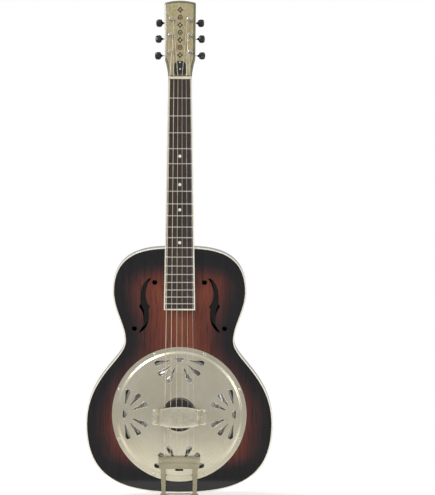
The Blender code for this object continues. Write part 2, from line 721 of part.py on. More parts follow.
def worm_rings(start, end):
    """Rings along local X whose radius follows a one-start thread of trapezoid section."""
    crest, root = WORM_RADIUS + 0.00034, WORM_RADIUS - 0.00048
    rows = int(round((end - start) / (WORM_LEAD / 5)))
    sides = 7
    rings = []
    for row in range(rows + 1):
        x = start + (end - start) * row / rows
        ring = []
        for k in range(sides):
            angle = 2 * math.pi * k / sides
            phase = (x / WORM_LEAD - angle / (2 * math.pi) + 0.5 + 10) % 1.0
            swell = min(max((0.27 - abs(phase - 0.5)) / 0.16, 0.0), 1.0)
            radius = root + (crest - root) * swell
            if row in (0, rows):
                radius = root
            ring.append((x, radius * math.cos(angle), radius * math.sin(angle)))
        rings.append(ring)
    return rings


def tuner_frame(number, side):
    """The headstock's frame moved to where a post's axis meets the headstock's back."""
    station, reach = POST_STATIONS[number]
    return HEAD @ Matrix.Translation((side * reach, station, -HEAD_THICKNESS))


def centre_on(obj, place):
    """Give a world-placed mesh its own origin at the frame's place."""
    obj.data.transform(place.inverted())
    obj.matrix_world = place
    return obj


def make_post(name, place, side):
    """A string post with its gear on the back end and the string's wraps at the front."""
    front = HEAD_THICKNESS
    outline = [(0.0, -0.0052), (0.0017, -0.0052), (0.0017, -0.0010), (0.0029, 0.0004),
               (0.0029, front + 0.0040), (0.0035, front + 0.0044), (0.0035, front + 0.0074),
               (0.0026, front + 0.0080), (0.0029, front + 0.0122), (0.0, front + 0.0122)]
    post = turned(name, list(reversed(outline)), 8, STEEL, place)
    half_tooth = math.pi / GEAR_TEETH if side > 0 else 0.0
    aim = Matrix.Rotation(-math.pi / 2 + half_tooth, 4, "Z")
    gear = slab("gear", [gear_outline()], -0.0047, -0.0023, None, place @ aim)
    combine(post, [gear])
    return centre_on(post, place)


def make_button(name, place, side, reach, roll):
    """Button, shaft and worm in one piece, on the shaft's axis; local X points outwards."""
    frame = place @ Matrix.Translation((0, -WORM_OFFSET, -WORM_DEPTH))
    if side < 0:
        frame = frame @ Matrix.Rotation(math.pi, 4, "Z")
    worm = loft(name, [[Vector(p) for p in ring] for ring in worm_rings(-0.0025, 0.0025)], STEEL)
    worm.data.transform(frame)
    spin = frame @ Matrix.Rotation(math.pi / 2, 4, "Y")
    shaft = [(0.0, -0.0066), (SHAFT_RADIUS, -0.0066), (SHAFT_RADIUS - 0.0003, -0.0024),
             (SHAFT_RADIUS - 0.0003, 0.0024), (SHAFT_RADIUS, 0.0027),
             (SHAFT_RADIUS, reach - 0.0105), (0.0042, reach - 0.0052), (0.0, reach - 0.0040)]
    shaft = turned("shaft", list(reversed(shaft)), 8, None, spin)
    outline = []
    for k in range(12):
        angle = 2 * math.pi * (k + 0.5) / 12
        outline.append((0.0062 * math.copysign(abs(math.cos(angle)) ** 0.75, math.cos(angle)),
                        0.0077 * math.copysign(abs(math.sin(angle)) ** 0.75, math.sin(angle))))
    rings = []
    for level, size in ((-0.0045, 0.66), (-0.0024, 1.0), (0.0024, 1.0), (0.0045, 0.66)):
        rings.append([(reach + x * size, y * size, level) for x, y in outline])
    knob = loft("knob", rings, None)
    knob.data.transform(frame @ Matrix.Rotation(roll, 4, "X"))
    combine(worm, [shaft, knob])
    worm.data.materials.clear()
    worm.data.materials.append(BLACK_PLASTIC)
    return centre_on(worm, frame)


def make_housing(name, place):
    """A base plate with a bearing tab at each end of the worm."""
    edge = [(-0.0060, -0.0100), (0.0060, -0.0100), (0.0060, 0.0090), (0.0035, 0.0120),
            (-0.0035, 0.0120), (-0.0060, 0.0090)]
    plate = slab(name, [edge, circle(0.0024, 8)], -0.0012, -GAP, NICKEL, place)
    tab = [(-0.0072, 0.0008), (-0.0019, 0.0008), (-0.0019, 0.0052), (-0.0032, 0.0062),
           (-0.0060, 0.0062), (-0.0072, 0.0052)]
    bore = circle(SHAFT_RADIUS + 0.00012, 8, (-WORM_OFFSET, WORM_DEPTH))
    lean = Matrix(((0, 0, 1, 0), (1, 0, 0, 0), (0, -1, 0, 0), (0, 0, 0, 1)))
    tabs = [slab("tab", [tab, bore], low, low + 0.0012, None, place @ lean)
            for low in (-0.0055, 0.0043)]
    combine(plate, tabs)
    return plate


def make_tuners():
    """Three machine heads a side, numbered from the high string round to the low one."""
    front = HEAD_THICKNESS
    for index, (number, side) in enumerate(TUNERS):
        place = tuner_frame(number, side)
        tag = str(index + 1)
        reach = BUTTON_REACH[number] - POST_STATIONS[number][1]
        roll = math.radians(BUTTON_ROLLS[index])
        make_button("tuner_button_" + tag, place, side, reach, roll)
        make_post("tuner_post_" + tag, place, side)
        make_housing("tuner_housing_" + tag, place)
        turned("tuner_bushing_" + tag, [(0.0050, front + GAP), (0.0046, front + 0.0016),
                                        (0.0031, front + 0.0016), (0.0031, front - 0.0060),
                                        (0.0042, front - 0.0060), (0.0042, front + GAP)], 10,
               NICKEL, place)


# ---------------------------------------------------------------- strings and tailpiece
def make_strings():
    """Six strings from the tailpiece over the saddle and the nut to their posts."""
    nut_height = board_top(NUT_Z) + NUT_RISE - 0.0010
    for index, (number, side) in enumerate(TUNERS):
        radius = STRING_DIAMETERS[index] / 2
        station, reach = POST_STATIONS[number]
        inner = side * (reach - 0.0035 - radius - 0.0002)
        post = HEAD @ Vector((inner, station - 0.0010, 0.0058))
        before = HEAD @ Vector((inner * 0.97 + string_x(index, STRING_SPREAD_NUT) * 0.03,
                                station - 0.0090, 0.0058))
        x_nut = string_x(index, STRING_SPREAD_NUT)
        x_saddle = string_x(index, STRING_SPREAD_SADDLE)
        route = [Vector((x_saddle, -0.0948, TAIL_TOP_Z - 0.0030)),
                 Vector((x_saddle, -SADDLE_HEIGHT + 0.0004, SADDLE_Z - 0.0030)),
                 Vector((x_saddle, -SADDLE_HEIGHT, SADDLE_Z)),
                 Vector((x_saddle, -SADDLE_HEIGHT, SADDLE_Z + 0.0030)),
                 Vector((x_nut, -nut_height, NUT_Z - 0.0020)),
                 Vector((x_nut, -nut_height, NUT_Z + 0.0015)),
                 Vector((x_nut, -nut_height + 0.0006, NUT_Z + NUT_LENGTH + 0.0010)),
                 before, post]
        data = bpy.data.curves.new("string_" + str(index + 1), "CURVE")
        data.dimensions = "3D"
        data.bevel_depth = radius
        data.bevel_resolution = 1
        data.use_fill_caps = True
        spline = data.splines.new("POLY")
        spline.points.add(len(route) - 1)
        for point, place in zip(spline.points, route):
            point.co = (*place, 1.0)
        obj = bpy.data.objects.new("string_" + str(index + 1), data)
        PARTS.objects.link(obj)
        curve_to_mesh(obj, BRONZE if index > 1 else STEEL)


def make_tailpiece():
    """A folded plate on two straps that run over the tail to a hinge pin on a bracket."""
    pin_z = BODY_BOTTOM_Z - TAIL_PIN_DROP
    plate_y = TAIL_PLATE_Y
    rings = []
    for z, half, thick in ((TAIL_TOP_Z, TAIL_HALF_TOP, 0.0035),
                           (TAIL_TOP_Z - 0.0030, TAIL_HALF_TOP, 0.0038),
                           (TAIL_BOTTOM_Z, TAIL_HALF_BOTTOM, 0.0022)):
        rings.append([(-half, plate_y, z), (half, plate_y, z),
                      (half, plate_y - thick, z), (-half, plate_y - thick, z)])
    body = loft("tailpiece", rings, NICKEL)
    knuckle = 0.0026
    quarter_turn = Matrix.Rotation(math.pi / 2, 4, "Y")
    for side in (-1, 1):
        path = [(plate_y - 0.0008, TAIL_BOTTOM_Z + 0.0060), (-0.0935, -0.1200),
                (-0.0895, -0.1420), (-0.0880, -0.1502), (-0.0845, -0.1530),
                (TAIL_PIN_Y - 0.0019, pin_z - 0.0019)]
        wide = (0.0047, 0.0044, 0.0040, 0.00375, 0.00375, 0.00375)
        middle = (0.0302, 0.0299, 0.0295, 0.0292, 0.0290, 0.0288)
        rings = []
        for k, (y, z) in enumerate(path):
            y0, z0 = path[max(k - 1, 0)]
            y1, z1 = path[min(k + 1, len(path) - 1)]
            length = math.hypot(y1 - y0, z1 - z0)
            ny, nz = (z1 - z0) / length, -(y1 - y0) / length
            out = STRAP_SHEET / 2
            ridge = out + STRAP_RIDGE
            x, w = side * middle[k], wide[k]
            rings.append([(x - w, y - ny * out, z - nz * out), (x + w, y - ny * out, z - nz * out),
                          (x + w, y + ny * out, z + nz * out), (x, y + ny * ridge, z + nz * ridge),
                          (x - w, y + ny * out, z + nz * out)])
        strap = loft("strap", rings, None)
        across = Matrix.Translation((side * middle[-1], TAIL_PIN_Y, pin_z)) @ quarter_turn
        eye = slab("eye", [circle(knuckle, 14), circle(HINGE_BORE, 14)], -0.00375, 0.00375, None,
                   across)
        combine(strap, [eye])
        combine(body, [strap])
    body.data.materials.clear()
    body.data.materials.append(NICKEL)
    centre_on(body, Matrix.Translation((0, TAIL_PIN_Y, pin_z)))

    across = Matrix.Translation((0, TAIL_PIN_Y, pin_z)) @ quarter_turn
    turned("tailpiece_pin", [(0.0, 0.0360), (0.0015, 0.0360), (0.0015, -0.0360), (0.0, -0.0360)], 14,
           STEEL, across)
    foot = BODY_BOTTOM_Z - GAP
    bracket = block("tailpiece_bracket", (-0.0220, -0.0740, foot - 0.0014),
                    (0.0220, -0.0400, foot), NICKEL)
    hook = slab("hook", [circle(knuckle, 14), circle(HINGE_BORE, 14)], -0.0215, 0.0215, None, across)
    web = block("web", (-0.0215, TAIL_PIN_Y - 0.0024, pin_z + 0.0018),
                (0.0215, TAIL_PIN_Y + 0.0024, foot - 0.0010), None)
    combine(bracket, [web, hook])
    bracket.data.materials.clear()
    bracket.data.materials.append(NICKEL)

    button = [(0.0, 0.0), (0.0060, 0.0), (0.0055, -0.0020), (0.0033, -0.0050), (0.0033, -0.0080),
              (0.0068, -0.0110), (0.0068, -0.0130), (0.0040, -0.0145), (0.0, -0.0145)]
    turned("end_pin", button, 14, NICKEL, Matrix.Translation((0, -0.0300, foot)))
    z = BODY_TOP_Z + 0.0300

    def heel_back(height):
        return -board_top(height) + BOARD_THICKNESS + GAP + neck_depth(height)[0]

    lean = math.atan2(heel_back(z - 0.005) - heel_back(z + 0.005), 0.010)
    away = Vector((0.0, math.cos(lean), math.sin(lean)))
    seat = Vector((0.0, heel_back(z), z)) + away * 0.0012
    turn = away.to_track_quat("-Z", "Y").to_matrix().to_4x4()
    turned("strap_button", button, 14, NICKEL, Matrix.Translation(seat) @ turn)


make_body()
make_resonator()
make_fretboard()
make_neck()
make_nut()
make_truss_rod()
make_tuners()
make_strings()
make_tailpiece()
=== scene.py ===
"""Looks of the resonator guitar: lacquered sunburst body, pierced nickel cover plate over a spun
cone, bound fingerboard, pearl-faced headstock, open-geared tuners, strings and trapeze tailpiece.

Each new piece is a surface computed as whole arrays and rides on one body of the frame.
"""
import json
import math

import bpy
import bmesh
import numpy as np
from mathutils import Matrix, Vector
from mathutils.geometry import delaunay_2d_cdt


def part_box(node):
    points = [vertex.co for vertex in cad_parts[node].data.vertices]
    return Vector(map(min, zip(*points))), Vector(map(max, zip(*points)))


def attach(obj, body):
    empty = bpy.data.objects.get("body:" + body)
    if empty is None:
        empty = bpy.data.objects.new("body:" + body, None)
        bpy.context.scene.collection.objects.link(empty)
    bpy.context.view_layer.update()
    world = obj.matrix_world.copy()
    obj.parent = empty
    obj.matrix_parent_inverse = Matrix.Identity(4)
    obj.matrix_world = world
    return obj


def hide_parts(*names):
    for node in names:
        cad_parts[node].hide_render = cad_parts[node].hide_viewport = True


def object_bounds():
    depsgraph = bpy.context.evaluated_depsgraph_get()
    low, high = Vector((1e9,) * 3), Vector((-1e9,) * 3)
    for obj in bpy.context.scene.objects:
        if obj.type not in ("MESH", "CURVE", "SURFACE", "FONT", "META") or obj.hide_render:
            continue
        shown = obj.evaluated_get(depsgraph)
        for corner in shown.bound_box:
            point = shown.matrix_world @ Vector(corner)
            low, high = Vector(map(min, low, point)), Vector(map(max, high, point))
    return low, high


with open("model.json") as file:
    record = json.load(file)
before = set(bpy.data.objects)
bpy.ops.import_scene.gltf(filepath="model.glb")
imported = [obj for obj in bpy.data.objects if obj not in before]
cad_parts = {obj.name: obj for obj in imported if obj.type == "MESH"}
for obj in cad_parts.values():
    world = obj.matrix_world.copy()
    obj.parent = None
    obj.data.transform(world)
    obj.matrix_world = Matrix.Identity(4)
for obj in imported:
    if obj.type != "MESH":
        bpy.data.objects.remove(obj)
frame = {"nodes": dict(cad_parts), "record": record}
cad_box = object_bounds()

# ---------------------------------------------------------------- sizes read from the frame
BODY = "guitar"
BINDING_LOW, BINDING_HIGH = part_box("top_binding")
FRONT_Y = BINDING_LOW[1]
BODY_TOP_Z, BODY_BOTTOM_Z = BINDING_HIGH[2], BINDING_LOW[2]
LOWER_HALF = BINDING_HIGH[0]
PLATE_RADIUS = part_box("coverplate")[1][0]
BOARD_LOW, BOARD_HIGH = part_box("fretboard_binding")
NUT_Z = BOARD_HIGH[2]
BOARD_END_Z = BOARD_LOW[2]
SADDLE_LOW, SADDLE_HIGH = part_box("saddle")
SADDLE_Z = (SADDLE_LOW[2] + SADDLE_HIGH[2]) / 2
REST_LOW, REST_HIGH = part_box("hand_rest")
REST_Z = (REST_LOW[2] + REST_HIGH[2]) / 2
TAIL_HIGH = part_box("tailpiece")[1]
JOINTS = {joint["name"]: joint for joint in frame["record"]["behaviour"]["joints"]}

# ---------------------------------------------------------------- sizes of the design
SCALE_LENGTH = 0.635
UPPER_BOUT = (0.1260, 0.2320)
WAIST = (0.1034, 0.1384)
LOWER_BOUT = (LOWER_HALF, -0.0180)
BINDING_WIDTH = 0.0024
BINDING_HEIGHT = 0.0060
PURFLING_WIDTH = 0.0013
SEAT = BINDING_WIDTH + 0.0003
TOP_THICKNESS = 0.0035
BACK_BEHIND_BINDING = 0.00005
NECK_TILT = math.radians(2.0)
HEAD_TILT = math.radians(12.0)
BOARD_TOP_AT_BODY = 0.0930
BOARD_THICKNESS = 0.0063
BOARD_HALF_AT_NUT = 0.0225
BOARD_HALF_AT_END = 0.0295
BOARD_BINDING = 0.0026
FRETS = 19
DOT_FRETS = (5, 7, 9, 12)
NUT_LENGTH = 0.0050
NUT_RISE = 0.0026
HEEL_LENGTH = 0.078
HEEL_CAP_Y = -0.0070
HEAD_LENGTH = 0.1508
HEAD_CORNER = 0.1464
HEAD_FOOT = 0.0072
HEAD_THICKNESS = 0.0140
HEAD_BORDER = 0.0034
HEAD_HALF_AT_CORNER = 0.0296
ROD_OPENING = ((-0.0040, 0.0120), (0.0040, 0.0120), (0.0040, 0.0300), (-0.0040, 0.0300))
POST_STATIONS = ((0.0527, 0.0193), (0.0848, 0.0180), (0.1154, 0.0170))
BUTTON_REACH = (0.0414, 0.0406, 0.0393)
TUNERS = ((0, 1), (1, 1), (2, 1), (2, -1), (1, -1), (0, -1))
BUTTON_ROLLS = (50.0, 0.0, 12.0, -8.0, 6.0, -4.0)
STRING_DIAMETERS = (0.00041, 0.00046, 0.00066, 0.00091, 0.00117, 0.00142)
STRING_SPREAD_NUT = 0.0193
STRING_SPREAD_SADDLE = 0.0273
SADDLE_HEIGHT = 0.1080
PLATE_SHEET = 0.0008
PLATE_STEP_RADIUS = 0.1160
PLATE_STEP = 0.0022
PLATE_DOME = 0.0058
PLATE_OPENING = 0.0320
PLATE_SCREW_RADIUS = 0.1229
HUB_RADIUS = 0.1060
HUB_DISC = 0.0080
PETALS = ((24.5, 0.0200, 0.0513), (50.5, 0.0206, 0.0503), (77.5, 0.0188, 0.0485))
SOUND_HOLE = 0.1190
CONE_RADIUS = 0.1180
CONE_LEDGE = 0.0680
BISCUIT_RADIUS = 0.0290
BISCUIT_THICKNESS = 0.0060
REST_HALF = 0.03785
REST_FOOT = (0.0419, 0.0512)
GEAR_TEETH = 14
GEAR_RADIUS = 0.0031
WORM_RADIUS = 0.0015
WORM_OFFSET = GEAR_RADIUS + WORM_RADIUS
WORM_LEAD = 2 * math.pi * GEAR_RADIUS / GEAR_TEETH
WORM_DEPTH = 0.0035
GAP = 0.0003
RAISE = math.tan(NECK_TILT)
FLOOR_RADIUS = 0.72
FLOOR_IN_REFLECTIONS = 0.12
CAMERA_DISTANCE = 20.0
CAMERA_ELEVATION = math.radians(2.3)
CAMERA_ROLL = math.radians(0.13)
VIEW_HEIGHT = 0.93357
ROOM_LIGHT_BELOW, ROOM_LIGHT_ABOVE = 0.10, 0.78
TAU = 2 * math.pi


# ---------------------------------------------------------------- frames
def frame_at(origin, up_tilt):
    """Local X across the guitar, Y up along it and Z out of its front, leaning back by a tilt."""
    up = Vector((0, math.sin(up_tilt), math.cos(up_tilt)))
    out = Vector((0, -math.cos(up_tilt), math.sin(up_tilt)))
    place = Matrix((Vector((1, 0, 0)), up, out)).transposed().to_4x4()
    place.translation = Vector(origin)
    return place


def board_top(z):
    """How far the fingerboard's playing face stands in front of the back plane."""
    return BOARD_TOP_AT_BODY - (z - BODY_TOP_Z) * RAISE


def board_half(z):
    """Half the fingerboard's width at a height, binding included."""
    share = (NUT_Z - z) / (NUT_Z - BOARD_END_Z)
    return BOARD_HALF_AT_NUT + (BOARD_HALF_AT_END - BOARD_HALF_AT_NUT) * share


FRONT = frame_at((0, 0, 0), 0.0)
BOARD = frame_at((0, -BOARD_TOP_AT_BODY, BODY_TOP_Z), NECK_TILT)
HEAD = frame_at((0, -board_top(NUT_Z) + BOARD_THICKNESS - 0.0005, NUT_Z), HEAD_TILT)


def placed(points, place):
    """Points carried by a 4x4 matrix."""
    matrix = np.array(place)
    return points @ matrix[:3, :3].T + matrix[:3, 3]


# ---------------------------------------------------------------- meshes
def piece(name, verts, faces, look, body=BODY, replaces=(), slot=None, sharp=35.0):
    """A finished mesh piece: welded, facing out, smooth with sharp edges past an angle."""
    mesh = bpy.data.meshes.new(name)
    mesh.from_pydata(np.asarray(verts).tolist(), [], faces)
    work = bmesh.new()
    work.from_mesh(mesh)
    bmesh.ops.remove_doubles(work, verts=work.verts, dist=2e-7)
    bmesh.ops.recalc_face_normals(work, faces=work.faces)
    work.to_mesh(mesh)
    work.free()
    mesh.shade_smooth()
    mesh.set_sharp_from_angle(angle=math.radians(sharp))
    mesh.materials.append(look)
    obj = bpy.data.objects.new(name, mesh)
    bpy.context.scene.collection.objects.link(obj)
    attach(obj, body)
    if replaces:
        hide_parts(*([replaces] if isinstance(replaces, str) else replaces))
    return obj


def grid_faces(rows, columns, wrap_rows=False, wrap_columns=False):
    """Quads of a grid of rows by columns vertices, joined round where it wraps."""
    r = np.arange(rows if wrap_rows else rows - 1)[:, None]
    c = np.arange(columns if wrap_columns else columns - 1)[None, :]
    r2, c2 = (r + 1) % rows, (c + 1) % columns
    quads = np.stack([r * columns + c, r * columns + c2, r2 * columns + c2, r2 * columns + c], -1)
    return quads.reshape(-1, 4).tolist()


def sheet_from_grid(name, grid, look, caps=True, wrap_rows=False, **options):
    """A tube-like surface: each row of the grid is a closed ring; the end rings are capped."""
    rows, columns = grid.shape[:2]
    faces = grid_faces(rows, columns, wrap_rows, True)
    if caps and not wrap_rows:
        faces += [list(range(columns)), list(range((rows - 1) * columns, rows * columns))]
    return piece(name, grid.reshape(-1, 3), faces, look, **options)


def turned(name, profile, place, look, steps=48, **options):
    """A profile of (radius, height) turned round local Z; where it meets the axis it closes."""
    profile = np.asarray(profile, float)
    angle = np.arange(steps) * TAU / steps
    ring = np.stack([np.cos(angle), np.sin(angle)], -1)
    grid = np.empty((len(profile), steps, 3))
    grid[..., :2] = profile[:, None, :1] * ring[None]
    grid[..., 2] = profile[:, None, 1]
    open_ends = profile[0, 0] > 0 or profile[-1, 0] > 0
    faces = grid_faces(len(profile), steps, open_ends, True)
    return piece(name, placed(grid.reshape(-1, 3), place), faces, look, **options)


def tube(name, path, radius, look, sides=12, **options):
    """A round section carried along a path; the radius may change along it."""
    path = np.asarray(path, float)
    radius = np.broadcast_to(radius, len(path))
    ahead = np.gradient(path, axis=0)
    ahead /= np.linalg.norm(ahead, axis=1)[:, None]
    helper = np.array([1.0, 0.0, 0.0]) if abs(ahead[0, 0]) < 0.8 else np.array([0.0, 0.0, 1.0])
    side = np.cross(ahead, helper)
    side /= np.linalg.norm(side, axis=1)[:, None]
    up = np.cross(side, ahead)
    angle = np.arange(sides) * TAU / sides
    grid = path[:, None] + radius[:, None, None] * (
        np.cos(angle)[None, :, None] * side[:, None] + np.sin(angle)[None, :, None] * up[:, None])
    return sheet_from_grid(name, grid, look, **options)


def ring_tube(loop, radius, sides=8):
    """Vertices and faces of a round section carried round a closed loop."""
    ahead = np.roll(loop, -1, 0) - np.roll(loop, 1, 0)
    ahead /= np.linalg.norm(ahead, axis=1)[:, None]
    side = np.cross(ahead, np.array([0.0, -1.0, 0.0]))
    side /= np.linalg.norm(side, axis=1)[:, None]
    up = np.cross(side, ahead)
    angle = np.arange(sides) * TAU / sides
    grid = loop[:, None] + radius * (
        np.cos(angle)[None, :, None] * side[:, None] + np.sin(angle)[None, :, None] * up[:, None])
    return grid.reshape(-1, 3), grid_faces(len(loop), sides, True, True)


def joined(parts):
    """Several (vertices, faces) lists as one."""
    verts, faces, start = [], [], 0
    for part_verts, part_faces in parts:
        verts.append(part_verts)
        faces += [[index + start for index in face] for face in part_faces]
        start += len(part_verts)
    return np.concatenate(verts), faces


def inside(points, loop):
    """Which points lie inside a closed loop, by counting the edges to their right."""
    x, y = points[:, :1], points[:, 1:]
    x0, y0 = loop[:, 0], loop[:, 1]
    x1, y1 = np.roll(x0, -1), np.roll(y0, -1)
    crosses = (y0 > y) != (y1 > y)
    rise = np.where(y1 == y0, 1.0, y1 - y0)
    return (crosses & (x < x0 + (y - y0) * (x1 - x0) / rise)).sum(1) % 2 == 1


def distance_to(points, loop):
    """Distance of each point to the nearest of a loop's points."""
    best = np.full(len(points), np.inf)
    for part in np.array_split(loop, max(1, len(loop) // 100)):
        gap = np.linalg.norm(points[:, None] - part[None], axis=2).min(1)
        best = np.minimum(best, gap)
    return best


def pierced_sheet(name, outer, holes, spacing, front, back, place, look, fill=None, **options):
    """A sheet with holes: a flat triangle net inside its outlines, lifted to two heights.

    front and back give the local height of each face from the flat coordinates; fill adds net
    points of the maker's choice, otherwise they lie on a square grid.
    """
    loops = [np.asarray(loop) for loop in [outer] + list(holes)]
    if fill is None:
        low, high = loops[0].min(0), loops[0].max(0)
        grid = np.stack(np.meshgrid(np.arange(low[0], high[0], spacing),
                                    np.arange(low[1], high[1], spacing)), -1).reshape(-1, 2)
    else:
        grid = fill
    keep = inside(grid, loops[0])
    for loop in loops[1:]:
        keep &= ~inside(grid, loop)
    keep &= distance_to(grid, np.concatenate(loops)) > spacing * 0.4
    points = np.concatenate(loops + [grid[keep]])
    edges, start = [], 0
    for loop in loops:
        index = np.arange(len(loop))
        edges += np.stack([start + index, start + (index + 1) % len(loop)], -1).tolist()
        start += len(loop)
    flat, _, triangles, *_ = delaunay_2d_cdt([Vector(p) for p in points.tolist()], edges, [], 0, 1e-7)
    flat, triangles = np.array([tuple(p) for p in flat]), np.array(triangles)
    middle = flat[triangles].mean(1)
    keep = inside(middle, loops[0])
    for loop in loops[1:]:
        keep &= ~inside(middle, loop)
    triangles = triangles[keep]
    count = len(flat)
    sides = np.concatenate([triangles[:, [0, 1]], triangles[:, [1, 2]], triangles[:, [2, 0]]])
    key = np.sort(sides, 1)
    _, first, times = np.unique(key, axis=0, return_index=True, return_counts=True)
    rim = sides[first[times == 1]]
    walls = np.stack([rim[:, 1], rim[:, 0], rim[:, 0] + count, rim[:, 1] + count], -1)
    verts = np.concatenate([np.column_stack([flat, front(flat[:, 0], flat[:, 1])]),
                            np.column_stack([flat, back(flat[:, 0], flat[:, 1])])])
    faces = triangles.tolist() + (triangles[:, ::-1] + count).tolist() + walls.tolist()
    return piece(name, placed(verts, place), faces, look, **options)


def level(height):
    """A height function that is the same everywhere."""
    return lambda x, y: np.full(len(x), height)


def attribute(obj, name, values):
    """A number on each vertex, for a material to read."""
    layer = obj.data.attributes.new(name, "FLOAT", "POINT")
    layer.data.foreach_set("value", np.asarray(values, np.float32))


def points_of(obj):
    """A piece's vertices as an array."""
    flat = np.empty(len(obj.data.vertices) * 3, np.float32)
    obj.data.vertices.foreach_get("co", flat)
    return flat.reshape(-1, 3).astype(float)


def bevelled(obj, width, segments=2, angle=40.0):
    """Round a piece's sharp edges with a live Bevel."""
    bevel = obj.modifiers.new("edges", "BEVEL")
    bevel.width = width
    bevel.segments = segments
    bevel.limit_method = "ANGLE"
    bevel.angle_limit = math.radians(angle)
    bevel.harden_normals = False
    return obj


# ---------------------------------------------------------------- curves
def cubic(p0, p1, p2, p3, t):
    """Points and slopes of a cubic arc."""
    p0, p1, p2, p3 = (np.array(p, float) for p in (p0, p1, p2, p3))
    t = np.asarray(t)[:, None]
    s = 1 - t
    point = s ** 3 * p0 + 3 * s * s * t * p1 + 3 * s * t * t * p2 + t ** 3 * p3
    slope = 3 * s * s * (p1 - p0) + 6 * s * t * (p2 - p1) + 3 * t * t * (p3 - p2)
    return point, slope


def body_outline(inset=0.0, per_arc=30):
    """The body's outline in XZ moved inwards: four cubic arcs a side, from the top round to it."""
    top, bottom = (0.0, BODY_TOP_Z), (0.0, BODY_BOTTOM_Z)
    arcs = (
        (top, (0.0400, BODY_TOP_Z), (UPPER_BOUT[0], UPPER_BOUT[1] + 0.0886), UPPER_BOUT),
        (UPPER_BOUT, (UPPER_BOUT[0], UPPER_BOUT[1] - 0.0358), (WAIST[0], WAIST[1] + 0.0302), WAIST),
        (WAIST, (WAIST[0], WAIST[1] - 0.0334), (LOWER_BOUT[0], LOWER_BOUT[1] + 0.0895), LOWER_BOUT),
        (LOWER_BOUT, (LOWER_BOUT[0], LOWER_BOUT[1] - 0.1100), (0.1014, BODY_BOTTOM_Z), bottom),
    )
    t = np.arange(per_arc) / per_arc
    right = []
    for arc in arcs:
        point, slope = cubic(*arc, t)
        slope /= np.linalg.norm(slope, axis=1)[:, None]
        right.append(point + inset * np.column_stack([slope[:, 1], -slope[:, 0]]))
    right = np.concatenate(right + [np.array([[0.0, BODY_BOTTOM_Z + inset]])])
    left = right[1:-1][::-1] * np.array([-1.0, 1.0])
    return np.concatenate([right, left])


def smooth_run(points, per=6):
    """A curve through the points (Catmull-Rom), without its last point."""
    points = np.asarray(points, float)
    padded = np.concatenate([[2 * points[0] - points[1]], points, [2 * points[-1] - points[-2]]])
    t = (np.arange(per) / per)[None, :, None]
    a, b, c, d = (padded[k:len(padded) - 3 + k][:, None] for k in range(4))
    run = 0.5 * (2 * b + (c - a) * t + (2 * a - 5 * b + 4 * c - d) * t ** 2
                 + (3 * b - a - 3 * c + d) * t ** 3)
    return run.reshape(-1, points.shape[1])


def circle(radius, count, centre=(0.0, 0.0)):
    """Points on a circle."""
    angle = np.arange(count) * TAU / count
    return np.column_stack([centre[0] + radius * np.cos(angle), centre[1] + radius * np.sin(angle)])


def smooth_step(t):
    """0 to 1 with level ends."""
    t = np.clip(t, 0.0, 1.0)
    return t * t * (3 - 2 * t)


# ---------------------------------------------------------------- materials
def srgb(*values):
    """A display colour in 0-255 as the linear colour that shaders use."""
    scaled = np.array(values) / 255
    linear = np.where(scaled <= 0.04045, scaled / 12.92, ((scaled + 0.055) / 1.055) ** 2.4)
    return (*linear.tolist(), 1.0)


